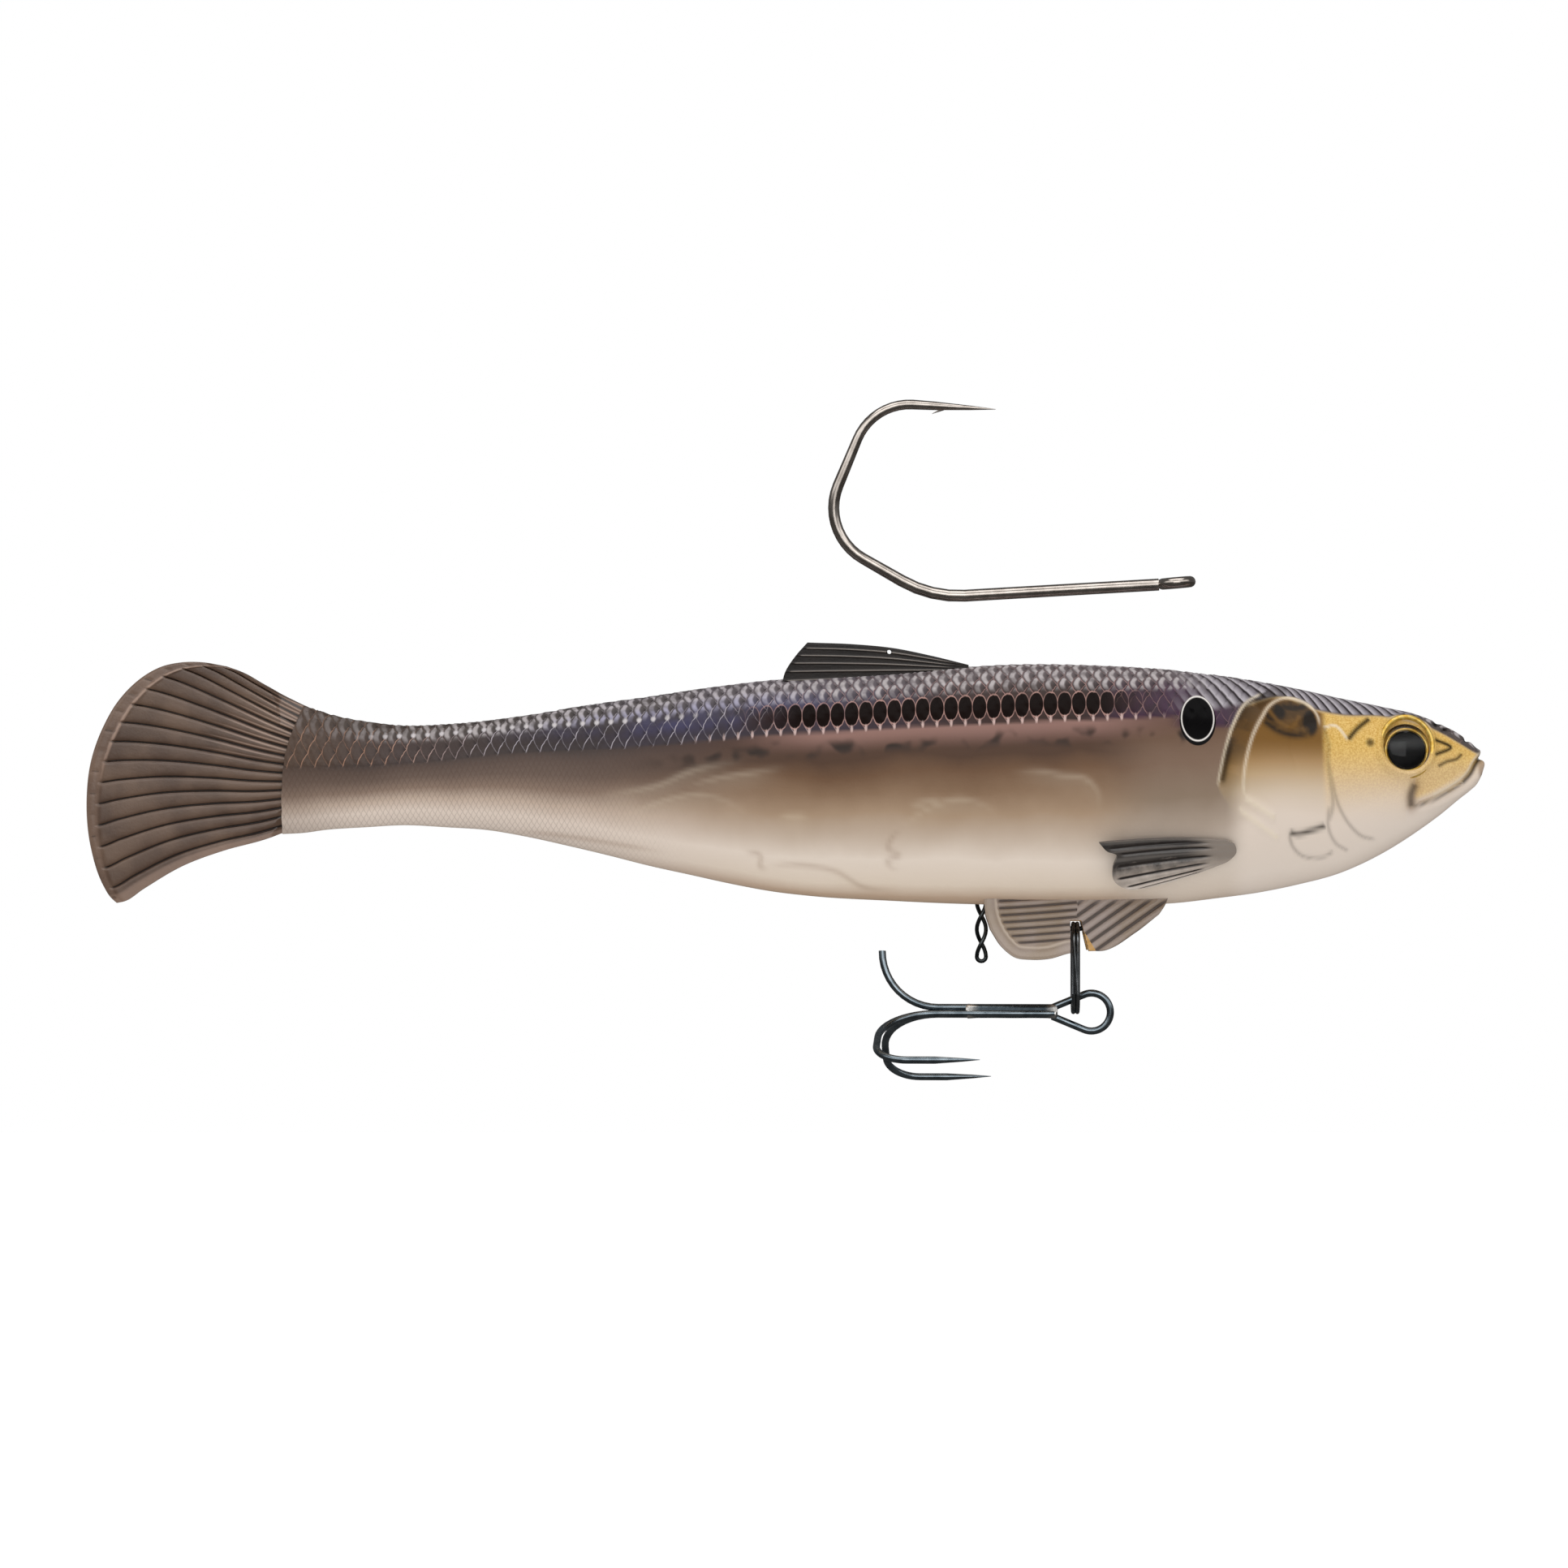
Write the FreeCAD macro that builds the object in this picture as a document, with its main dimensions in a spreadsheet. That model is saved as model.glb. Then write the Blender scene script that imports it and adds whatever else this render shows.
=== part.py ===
import FreeCAD, Part
import math
import os

import Sketcher

# Soft swimbait, 8 inches long, head towards +X, back towards +Z, its right flank towards -Y.
# The origin is the mouth end of the leader tube, where the fishing line enters. Millimetres.

Vec = FreeCAD.Vector
X_AXIS = Vec(1, 0, 0)
Y_AXIS = Vec(0, 1, 0)
Z_AXIS = Vec(0, 0, 1)
UPRIGHT = FreeCAD.Rotation(X_AXIS, 90)

doc = FreeCAD.newDocument("swimbait")
sheet = doc.addObject("Spreadsheet::Sheet", "dims")

# Cross-sections of the moulded fish, from the tail on: place, back, belly, half width.
TAIL_STATIONS = [
    (-174.3, 9.3, -10.9, 1.9),
    (-167.8, 7.1, -10.0, 2.6),
    (-156.0, 5.2, -9.3, 3.7),
    (-144.2, 5.9, -10.0, 4.9),
]
STATIONS = [
    (-156.0, 5.2, -9.3, 3.7),
    (-144.2, 5.9, -10.0, 4.9),
    (-132.4, 7.7, -12.3, 6.2),
    (-120.6, 9.4, -15.2, 7.6),
    (-108.8, 11.1, -17.8, 8.9),
    (-97.0, 12.2, -19.6, 9.9),
    (-85.2, 12.9, -20.4, 10.6),
    (-70.4, 14.2, -21.0, 11.0),
    (-52.7, 13.9, -21.0, 11.2),
    (-40.9, 12.9, -20.3, 11.0),
    (-29.1, 11.1, -18.6, 10.4),
    (-20.3, 9.2, -16.3, 9.4),
    (-11.4, 7.3, -11.9, 7.6),
    (-5.5, 5.4, -7.7, 5.6),
    (-2.2, 3.3, -5.0, 3.9),
    (-0.2, 1.7, -3.2, 2.4),
    (0.8, 0.5, -1.4, 0.9),
]

# Outlines in side view: point by point, x, z and the radius of the arc to the next point.
# A radius of 0 is a straight edge, a minus sign an arc that bulges the other way.
TAIL_FIN = [
    (-173.5, 9.3, 31.0),
    (-182.5, 13.9, 15.1),
    (-191.4, 13.8, 14.9),
    (-198.0, 8.5, 25.2),
    (-202.4, -5.5, 27.4),
    (-199.9, -18.2, 3.9),
    (-197.6, -20.7, 8.3),
    (-194.2, -18.6, -39.0),
    (-185.5, -14.0, -67.7),
    (-173.5, -10.9, 0),
]
DORSAL_FIN = [
    (-101.5, 10.3, 0),
    (-101.5, 12.2, -30.0),
    (-97.6, 17.3, 0),
    (-85.2, 16.5, 0),
    (-74.0, 14.1, 0),
    (-74.0, 12.6, 0),
    (-88.0, 11.2, 0),
]
PELVIC_FIN = [
    (-72.0, -19.2, 0),
    (-71.1, -24.4, 9.0),
    (-67.6, -28.7, 5.0),
    (-65.2, -29.0, 22.0),
    (-59.7, -28.1, 0),
    (-59.7, -22.7, 0),
    (-57.7, -22.7, 0),
    (-56.5, -27.7, 0),
    (-54.8, -27.7, 22.0),
    (-45.1, -21.1, 0),
    (-45.1, -19.2, 0),
]
# The pectoral outline is measured from the fin's own root.
PECTORAL_FIN = [
    (0.8, -0.2, -1.9),
    (-0.9, -1.9, 0),
    (-3.0, -3.0, 0),
    (-12.0, -5.9, -3.4),
    (-16.8, -4.8, 0),
    (-17.0, -2.8, 0),
    (-16.5, -0.7, 0),
    (-17.9, -0.5, 0),
    (-19.4, 1.1, 0),
    (-13.2, 1.5, 0),
    (-1.0, 1.5, -1.9),
]
# Wires: corners of the bent wire, the bend radius at each inner corner and the wire's radius there.
TOP_HOOK = [
    (-46.5, 25.7, 0, 0.88),
    (-79.6, 23.8, 16.5, 0.88),
    (-96.0, 33.2, 8.5, 0.82),
    (-88.1, 52.2, 8.2, 0.72),
    (-79.3, 51.7, 0, 0.64),
]
HARNESS = [
    (-35.0, -14.2, 0, 0.35),
    (-42.5, -18.6, 6.0, 0.35),
    (-56.9, -18.6, 1.5, 0.35),
    (-56.9, -24.35, 1.2, 0.35),
    (-60.4, -24.35, 1.2, 0.35),
    (-60.4, -18.6, 1.5, 0.35),
    (-74.0, -18.6, 0, 0.35),
]
# Treble wires are measured from the split ring: along the shank, then out from its axis.
PRONG = [
    (-2.95, 0.63, 0, 0.53),
    (-28.2, 0.63, 8.2, 0.53),
    (-28.2, 16.6, 4.7, 0.53),
    (-19.5, 16.6, 0, 0.53),
]
BLUNT_PRONG = [
    (-3.4, 0.63, 0, 0.53),
    (-28.2, 0.63, 8.2, 0.53),
    (-28.2, 8.9, 0, 0.53),
]

SIZES = {
    # joints of the soft tail, and the gap at each seat
    "wrist_x": -148.9,
    "wrist_nose_radius": 4.75,
    "fin_root_x": -173.5,
    "fin_bead_radius": 1.65,
    "seat_gap": 0.35,
    # leader tube
    "tube_length": 40.0,
    "tube_slope": 13.13,
    "tube_bore_radius": 0.7,
    "tube_outer_radius": 1.1,
    "lip_hole_radius": 0.8,
    # slot and eye pocket in the back
    "slot_rear_x": -95.6,
    "slot_width": 2.6,
    "slot_floor_z": -13.0,
    "pocket_rear_x": -50.0,
    "pocket_front_x": -38.0,
    "pocket_width": 6.3,
    "pocket_floor_z": -13.6,
    # eyes
    "eye_x": -11.1,
    "eye_y": 6.0,
    "eye_z": 1.9,
    "eye_yaw": 9.0,
    "eye_pitch": 9.0,
    "eye_radius": 3.5,
    "eye_foil_thickness": 0.3,
    "eye_lens_bulge": 1.3,
    "eye_rim_radius": 3.9,
    "eye_rim_spread": 1.0,
    "eye_rim_depth": 1.15,
    # fins
    "fin_leaf_thickness": 0.8,
    "dorsal_leaf_offset": 1.75,
    "pelvic_root_offset": 3.0,
    "pelvic_splay": 12.0,
    "pectoral_root_x": -36.6,
    "pectoral_root_y": 9.6,
    "pectoral_root_z": -12.7,
    "pectoral_tilt": 21.0,
    "pectoral_flare": 6.0,
    "pectoral_root_bead": 0.8,
    "pectoral_groove": 1.15,
    "tail_fin_root_half": 1.5,
    "tail_fin_edge_half": 0.5,
    "tail_fin_length": 30.0,
    "ray_groove_width": 0.45,
    "ray_groove_depth": 0.3,
    "ray_fan_x": -153.0,
    "ray_fan_z": -0.8,
    "ray_fan_start": 22.0,
    "ray_length": 26.0,
    "ray_count": 15,
    "ray_step": 3.2,
    # top hook
    "hook_spear_length": 9.1,
    "hook_eye_radius": 2.0,
    "hook_eye_wire": 0.82,
    "hook_eye_x": -43.95,
    "hook_eye_z": 25.95,
    "hook_eye_tilt": 5.0,
    "hook_barb_length": 2.6,
    "hook_barb_radius": 0.34,
    "hook_barb_place": 2.2,
    "hook_barb_angle": 27.0,
    "point_radius": 0.04,
    # belly harness and ballast
    "weight_front_x": -27.0,
    "weight_z": -13.2,
    "weight_length": 11.3,
    "weight_radius": 2.4,
    "hanger_x": -72.3,
    "hanger_low_z": -28.4,
    "hanger_pitch": 8.0,
    "hanger_height": 9.9,
    "hanger_radius": 0.66,
    "hanger_wire_radius": 0.3,
    # split ring
    "ring_x": -58.65,
    "ring_top_z": -23.6,
    "ring_low_z": -36.46,
    "ring_half_width": 2.7,
    "ring_wire_radius": 0.32,
    "ring_turn_offset": 0.29,
    # treble hook
    "treble_yaw": -4.7,
    "treble_wire_radius": 0.53,
    "treble_shank_offset": 0.63,
    "treble_roll_blunt": -6.8,
    "treble_spear_length": 6.5,
    "treble_eye_x": 2.35,
    "treble_eye_radius": 2.76,
    "treble_eye_start_x": -3.35,
    "treble_braze_radius": 1.0,
    "treble_braze_start_x": -15.7,
    "treble_braze_length": 13.0,
    "treble_spear_lean": 1.5,
    "treble_barb_place": 1.8,
    "treble_barb_length": 1.5,
    "treble_barb_radius": 0.24,
    # head relief
    "relief_height": 0.45,
    "gill_x": -27.5,
    "gill_z": -2.5,
    "gill_half_length": 10.8,
    "gill_half_height": 12.3,
}

next_row = 1


def put(alias, value):
    """One driving size in the sheet: its name beside its value."""
    global next_row
    sheet.set(f"A{next_row}", alias)
    sheet.set(f"B{next_row}", str(value))
    sheet.setAlias(f"B{next_row}", alias)
    next_row += 1


def put_rows(prefix, rows, columns):
    for number, row in enumerate(rows):
        for column, value in zip(columns, row):
            put(f"{prefix}_{number}_{column}", value)


for size_name, size_value in SIZES.items():
    put(size_name, size_value)
for table_name, table in (("station", STATIONS), ("tail_station", TAIL_STATIONS)):
    put_rows(table_name, table, ("x", "back", "belly", "half"))
OUTLINES = {
    "tail_fin": TAIL_FIN,
    "dorsal_fin": DORSAL_FIN,
    "pelvic_fin": PELVIC_FIN,
    "pectoral_fin": PECTORAL_FIN,
    "top_hook": TOP_HOOK,
    "harness": HARNESS,
    "prong": PRONG,
    "blunt_prong": BLUNT_PRONG,
}
for outline_name, outline_rows in OUTLINES.items():
    put_rows(outline_name, outline_rows, ("x", "z", "radius", "wire"))
doc.recompute()


def size(alias):
    return float(sheet.get(alias))


def bind(item, **expressions):
    """Binds properties to the sheet; a double underscore in a name stands for a dot."""
    for name, expression in expressions.items():
        item.setExpression(name.replace("__", "."), expression)


def add(kind, name, **expressions):
    item = doc.addObject(kind, name)
    bind(item, **expressions)
    return item


def place(item, x="0", y="0", z="0"):
    bind(item, Placement__Base__x=x, Placement__Base__y=y, Placement__Base__z=z)
    return item


def turn(item, rotation):
    item.Placement = FreeCAD.Placement(item.Placement.Base, rotation)
    return item


def combine(kind, name, base, tool):
    item = doc.addObject(kind, name)
    item.Base = base
    item.Tool = tool
    return item


def cut(name, base, tool):
    return combine("Part::Cut", name, base, tool)


def common(name, base, tool):
    return combine("Part::Common", name, base, tool)


def fuse(name, *shapes):
    item = doc.addObject("Part::MultiFuse", name)
    item.Shapes = list(shapes)
    item.Refine = False
    return item


# ---- sketches ----

def pin(sketch, geometry, point, x_cell, z_cell):
    """Holds a sketch point at a place given by two cells of the sheet."""
    for kind, cell in (("DistanceX", x_cell), ("DistanceY", z_cell)):
        datum = Sketcher.Constraint(kind, -1, 1, geometry, point, size(cell))
        number = sketch.addConstraint(datum)
        sketch.setExpression(f"Constraints[{number}]", f"dims.{cell}")


def hold_radius(sketch, arc, cell, factor=1):
    number = sketch.addConstraint(Sketcher.Constraint("Radius", arc, abs(size(cell))))
    sketch.setExpression(f"Constraints[{number}]", f"abs(dims.{cell}) * {factor}")


def arc_between(start, end, radius):
    """Arc from start to end, and whether it runs clockwise. A plus radius turns left going round."""
    middle = (start + end) * 0.5
    half = (end - start) * 0.5
    normal = Vec(-half.y, half.x, 0)
    normal.normalize()
    reach = math.sqrt(radius * radius - half.Length ** 2)
    centre = middle + normal * math.copysign(reach, radius)
    first = math.atan2(start.y - centre.y, start.x - centre.x)
    last = math.atan2(end.y - centre.y, end.x - centre.x)
    circle = Part.Circle(centre, Z_AXIS, abs(radius))
    if radius > 0:
        return Part.ArcOfCircle(circle, first, last), False
    return Part.ArcOfCircle(circle, last, first), True


def draw_outline(sketch, name, rows):
    """Closed outline from a row of corners, each pinned to the sheet, with straight or round edges."""
    corners = [Vec(size(f"{name}_{n}_x"), size(f"{name}_{n}_z"), 0) for n in range(len(rows))]
    ends = []
    for number, corner in enumerate(corners):
        following = corners[(number + 1) % len(corners)]
        radius = size(f"{name}_{number}_radius")
        if radius:
            arc, clockwise = arc_between(corner, following, radius)
            edge = sketch.addGeometry(arc)
            hold_radius(sketch, edge, f"{name}_{number}_radius")
            ends.append((edge, 2, 1) if clockwise else (edge, 1, 2))
        else:
            edge = sketch.addGeometry(Part.LineSegment(corner, following))
            ends.append((edge, 1, 2))
    for number, (edge, start, end) in enumerate(ends):
        next_edge, next_start, _ = ends[(number + 1) % len(ends)]
        sketch.addConstraint(Sketcher.Constraint("Coincident", edge, end, next_edge, next_start))
        pin(sketch, edge, start, f"{name}_{number}_x", f"{name}_{number}_z")


def wire_section(name, radius, sides, point, along):
    """Section of a wire, square to its run: a polygon with the area of the round wire."""
    share = math.sqrt(2 * math.pi / (sides * math.sin(2 * math.pi / sides)))
    section = add("Part::RegularPolygon", name, Circumradius=f"{radius} * {share:.5f}")
    section.Polygon = sides
    section.Placement = FreeCAD.Placement(point, FreeCAD.Rotation(Y_AXIS, Vec(), along, "ZXY"))
    return section


def skin(name, *sections):
    """Solid with straight sides from section to section."""
    loft = doc.addObject("Part::Loft", name)
    loft.Sections = list(sections)
    loft.Solid = True
    loft.Ruled = True
    return loft


def revolve(name, section, centre, axis, angle):
    bend = doc.addObject("Part::Revolution", name)
    bend.Source = section
    bend.Base = centre
    bend.Axis = axis
    bend.Angle = angle
    bend.Solid = True
    return bend


def bend_at(corner, before, after, radius):
    """Where a round bend starts and ends, its centre, and its turn about +Y in degrees."""
    back = (before - corner).normalize()
    ahead = (after - corner).normalize()
    half = back.getAngle(ahead) / 2
    reach = radius / math.tan(half)
    centre = corner + (back + ahead).normalize() * (radius / math.sin(half))
    way = math.copysign(1, ahead.cross(back).y)
    return corner + back * reach, corner + ahead * reach, centre, way * math.degrees(math.pi - 2 * half)


def bent_wire(label, name, rows, sides):
    """A wire bent in side view: straight legs, which may thin out, and a round bend between them."""
    corners = [Vec(size(f"{name}_{n}_x"), 0, size(f"{name}_{n}_z")) for n in range(len(rows))]
    bends = []
    for number in range(1, len(corners) - 1):
        before, corner, after = corners[number - 1:number + 2]
        bends.append(bend_at(corner, before, after, size(f"{name}_{number}_radius")))
    starts = [corners[0]] + [bend[1] for bend in bends]
    ends = [bend[0] for bend in bends] + [corners[-1]]
    pieces = []
    for number, (start, end) in enumerate(zip(starts, ends)):
        leg_name = f"{label}_leg_{number}"
        near = wire_section(f"{leg_name}_start", f"dims.{name}_{number}_wire", sides, start,
                            end - start)
        far = wire_section(f"{leg_name}_end", f"dims.{name}_{number + 1}_wire", sides, end,
                           end - start)
        pieces.append(skin(leg_name, near, far))
        if number < len(bends):
            _, _, centre, turned = bends[number]
            pieces.append(revolve(f"{label}_bend_{number}", far, centre, Y_AXIS, turned))
    return pieces


def origin_plane(body, role):
    return next(f for f in body.Origin.OriginFeatures if f.Role == role)


def body_sketch(body, name, role="XZ_Plane"):
    sketch = body.newObject("Sketcher::SketchObject", name)
    sketch.AttachmentSupport = (origin_plane(body, role), [""])
    sketch.MapMode = "FlatFace"
    return sketch


def leaf(name, rows, outline_name, thickness):
    """A flat soft fin: its outline padded evenly to both sides of its own middle plane."""
    body = doc.addObject("PartDesign::Body", name)
    sketch = body_sketch(body, f"{name}_outline")
    draw_outline(sketch, outline_name, rows)
    pad = body.newObject("PartDesign::Pad", f"{name}_pad")
    pad.Profile = sketch
    pad.Midplane = True
    bind(pad, Length=f"dims.{thickness}")
    return body


# ---- the moulded fish as one form, from which the body and the tail stock are cut ----

def oval(name, cell, sides, grow_height=0, grow_width=0):
    """Upright oval section at one station of the fish, with many short sides."""
    back = size(f"{cell}_back") + grow_height
    belly = size(f"{cell}_belly") - grow_height
    half = size(f"{cell}_half") + grow_width
    ring = doc.addObject("Part::Polygon", name)
    angles = [2 * math.pi * number / sides for number in range(sides)]
    ring.Nodes = [Vec(0, half * math.cos(angle), (back - belly) / 2 * math.sin(angle))
                  for angle in angles]
    ring.Close = True
    return place(ring, x=f"dims.{cell}_x", z=f"(dims.{cell}_back + dims.{cell}_belly) / 2")


def form_through(name, sections):
    """Solid that runs smoothly from section to section."""
    loft = doc.addObject("Part::Loft", name)
    loft.Sections = sections
    loft.Solid = True
    return loft


def fish_form(name, rows, sides):
    """The moulded form through one run of stations."""
    sections = [oval(f"{name}_{n}", f"{name}_{n}", sides) for n in range(len(rows))]
    return form_through(f"{name}_form", sections)


def post(name, radius, x, y="0", z="-40", height="80"):
    """Upright cylinder."""
    cylinder = add("Part::Cylinder", name, Radius=radius, Height=height)
    return place(cylinder, x, y, z)


def block(name, x_low, x_high, half_width, z_low, z_high):
    box = add(
        "Part::Box",
        name,
        Length=f"({x_high}) - ({x_low})",
        Width=f"2 * ({half_width})",
        Height=f"({z_high}) - ({z_low})",
    )
    return place(box, x_low, f"-({half_width})", z_low)


def along_tube(name, radius, length, start="0"):
    """Cylinder on the leader tube's axis, from a point behind the mouth towards the tail."""
    slope = size("tube_slope")
    cylinder = add("Part::Cylinder", name, Radius=radius, Height=length)
    backward = Vec(-math.cos(math.radians(slope)), 0, -math.sin(math.radians(slope)))
    turn(cylinder, FreeCAD.Rotation(Z_AXIS, backward))
    angle = "dims.tube_slope * 1deg"
    return place(cylinder, x=f"-({start}) * cos({angle})", z=f"-({start}) * sin({angle})")


def eye_rotation(side):
    """Turns +Z outwards from the eye's socket on one side of the head; side is -1 for the right."""
    outward = FreeCAD.Rotation(X_AXIS, -90 * side)
    yaw = FreeCAD.Rotation(Z_AXIS, -side * size("eye_yaw"))
    pitch = FreeCAD.Rotation(X_AXIS, side * size("eye_pitch"))
    return yaw.multiply(pitch).multiply(outward)


def on_eye(item, side, depth="0"):
    """Seats a round piece on the eye's axis, a depth out from the socket floor."""
    outward = eye_rotation(side).multVec(Z_AXIS)
    turn(item, eye_rotation(side))
    return place(
        item,
        x=f"dims.eye_x + ({depth}) * {outward.x:.5f}",
        y=f"{side} * dims.eye_y + ({depth}) * {outward.y:.5f}",
        z=f"dims.eye_z + ({depth}) * {outward.z:.5f}",
    )


def eye_socket(name, side):
    socket = add("Part::Cylinder", f"socket_{name}", Radius="dims.eye_radius + 0.02", Height="8")
    return on_eye(socket, side)


def eye_rim(name, side):
    """Conical collar round the eye; the socket is cut through it."""
    rim = add(
        "Part::Cone",
        f"rim_{name}",
        Radius1="dims.eye_rim_radius + dims.eye_rim_spread",
        Radius2="dims.eye_rim_radius",
        Height="2 * dims.eye_rim_depth",
    )
    return on_eye(rim, side, "-dims.eye_rim_depth")


def gill_plates(form):
    """Raised gill covers on both cheeks: a fuller skin, kept only inside the cover's oval outline."""
    rings = []
    for number in range(8, 14):
        rings.append(oval(f"gill_ring_{number}", f"station_{number}", 32,
                          size("relief_height") * 0.2, size("relief_height")))
    fuller = form_through("gill_skin", rings)
    outline = add(
        "Part::Ellipse",
        "gill_outline",
        MajorRadius="dims.gill_half_height",
        MinorRadius="dims.gill_half_length",
    )
    turn(outline, FreeCAD.Rotation(X_AXIS, 90).multiply(FreeCAD.Rotation(Z_AXIS, 90)))
    place(outline, x="dims.gill_x", y="-20", z="dims.gill_z")
    prism = doc.addObject("Part::Extrusion", "gill_prism")
    prism.Base = outline
    prism.DirMode = "Custom"
    prism.Dir = Y_AXIS
    prism.LengthFwd = 40
    prism.Solid = True
    return common("gill_plates", fuller, prism)


def belly_weight():
    """Short lead barrel below the leader tube; its rear end shows in the pocket's front wall."""
    weight = add(
        "Part::Prism",
        "belly_weight",
        Circumradius="dims.weight_radius",
        Height="dims.weight_length",
    )
    weight.Polygon = 12
    turn(weight, FreeCAD.Rotation(Z_AXIS, -X_AXIS))
    return place(weight, x="dims.weight_front_x", z="dims.weight_z")


def soft_body(weight):
    form = fish_form("station", STATIONS, 32)
    half = block("front_half", "dims.wrist_x", "5", "30", "-40", "40")
    head_relief = fuse("fish_with_gills", form, gill_plates(form))
    trunk = common("trunk", head_relief, half)
    with_rims = fuse("trunk_with_rims", trunk, eye_rim("right", -1), eye_rim("left", 1))
    slot = block("slot", "dims.slot_rear_x", "dims.pocket_front_x - 1", "dims.slot_width / 2",
                 "dims.slot_floor_z", "30")
    pocket = block("pocket", "dims.pocket_rear_x", "dims.pocket_front_x",
                   "dims.pocket_width / 2", "dims.pocket_floor_z", "30")
    cavities = [
        post("wrist_seat", "dims.wrist_nose_radius + dims.seat_gap", "dims.wrist_x"),
        slot,
        pocket,
        along_tube("tube_seat", "dims.tube_outer_radius", "dims.tube_length + 1"),
        along_tube("lip_hole", "dims.lip_hole_radius", "10", start="-6"),
        eye_socket("right", -1),
        eye_socket("left", 1),
        weight,
    ]
    for name, side in (("right", -1), ("left", 1)):
        cavities.append(pectoral_post(f"pectoral_groove_{name}", side, "dims.pectoral_groove",
                                      "5.4"))
    return cut("soft_body", with_rims, fuse("cavities", *cavities))


def tail_stock():
    form = fish_form("tail_station", TAIL_STATIONS, 24)
    rear = block("rear_half", "dims.fin_root_x", "dims.wrist_x", "30", "-40", "40")
    nose = common("wrist_nose", form, post("nose_post", "dims.wrist_nose_radius", "dims.wrist_x"))
    stock = fuse("stock_and_nose", common("rear_stock", form, rear), nose)
    seat = post("fin_seat", "dims.fin_bead_radius + dims.seat_gap", "dims.fin_root_x")
    return cut("tail_stock", stock, seat)


# ---- fins ----

def fin_half_thickness(x):
    run = (size("fin_root_x") - x) / size("tail_fin_length")
    return size("tail_fin_root_half") + run * (size("tail_fin_edge_half") - size("tail_fin_root_half"))


def taper_sketch(body):
    """Long wedge seen from above: the fin is thick at its root and thin at its edge."""
    sketch = body_sketch(body, "fin_taper", "XY_Plane")
    edge_x = "dims.fin_root_x - dims.tail_fin_length"
    cells = [
        ("dims.fin_root_x", "dims.tail_fin_root_half"),
        (edge_x, "dims.tail_fin_edge_half"),
        (edge_x, "-dims.tail_fin_edge_half"),
        ("dims.fin_root_x", "-dims.tail_fin_root_half"),
    ]
    root_x = size("fin_root_x")
    far_x = root_x - size("tail_fin_length")
    root_half = size("tail_fin_root_half")
    edge_half = size("tail_fin_edge_half")
    corners = [
        Vec(root_x, root_half, 0),
        Vec(far_x, edge_half, 0),
        Vec(far_x, -edge_half, 0),
        Vec(root_x, -root_half, 0),
    ]
    for start, end in zip(corners, corners[1:] + corners[:1]):
        sketch.addGeometry(Part.LineSegment(start, end))
    for number, (corner, (x_cell, y_cell)) in enumerate(zip(corners, cells)):
        following = (number + 1) % len(corners)
        sketch.addConstraint(Sketcher.Constraint("Coincident", number, 2, following, 1))
        for kind, value, cell in (("DistanceX", corner.x, x_cell), ("DistanceY", corner.y, y_cell)):
            row = sketch.addConstraint(Sketcher.Constraint(kind, -1, 1, number, 1, value))
            sketch.setExpression(f"Constraints[{row}]", cell)
    return sketch


def tail_fin():
    """Fan-shaped fin, thinner to its edge, with a round bead at its root and grooves between its rays."""
    body = doc.addObject("PartDesign::Body", "tail_fin_blank")
    slab = body.newObject("PartDesign::Pad", "fin_slab")
    slab.Profile = taper_sketch(body)
    slab.Midplane = True
    slab.Length = 60
    trim = body_sketch(body, "fin_outline")
    draw_outline(trim, "tail_fin", TAIL_FIN)
    frame = [Vec(-210, -35, 0), Vec(-165, -35, 0), Vec(-165, 35, 0), Vec(-210, 35, 0)]
    for start, end in zip(frame, frame[1:] + frame[:1]):
        trim.addGeometry(Part.LineSegment(start, end))
    trimming = body.newObject("PartDesign::Pocket", "fin_trim")
    trimming.Profile = trim
    trimming.Midplane = True
    trimming.Length = 20
    bead = body.newObject("PartDesign::AdditiveCylinder", "root_bead")
    last = len(TAIL_FIN) - 1
    bind(
        bead,
        Radius="dims.fin_bead_radius",
        Height=f"dims.tail_fin_0_z - dims.tail_fin_{last}_z - 1",
        Placement__Base__x="dims.fin_root_x",
        Placement__Base__z=f"dims.tail_fin_{last}_z + 0.5",
    )
    grooves = [ray_groove(number, side) for number in range(int(size("ray_count"))) for side in (-1, 1)]
    return cut("tail_fin", body, fuse("ray_grooves", *grooves))


def ray_groove(number, side):
    """Thin cutter that follows one ray along the fin's sloping face."""
    spread = (number - (size("ray_count") - 1) / 2) * size("ray_step")
    angle = math.radians(180 + spread)
    along = Vec(math.cos(angle), 0, math.sin(angle))
    face = Vec(0, side, 0)
    fall = (size("tail_fin_root_half") - size("tail_fin_edge_half")) / size("tail_fin_length")
    run = (along - face * fall).normalize()
    rotation = FreeCAD.Rotation(run, Vec(), face, "XZY")
    start = Vec(size("ray_fan_x"), 0, size("ray_fan_z")) + along * size("ray_fan_start")
    depth = fin_half_thickness(start.x) - size("ray_groove_depth")
    across = rotation.multVec(Y_AXIS) * (size("ray_groove_width") / 2)
    cutter = add(
        "Part::Box",
        f"ray_{number}_{'right' if side < 0 else 'left'}",
        Length="dims.ray_length",
        Width="dims.ray_groove_width",
        Height="1",
    )
    cutter.Placement = FreeCAD.Placement(start + face * depth - across, rotation)
    return cutter


def pectoral_rotation(side):
    """The fin lies along the flank, leaning out at the top and away from the body at its rear."""
    tilt = FreeCAD.Rotation(X_AXIS, -side * size("pectoral_tilt"))
    flare = FreeCAD.Rotation(Z_AXIS, -side * size("pectoral_flare"))
    return flare.multiply(tilt)


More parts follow.
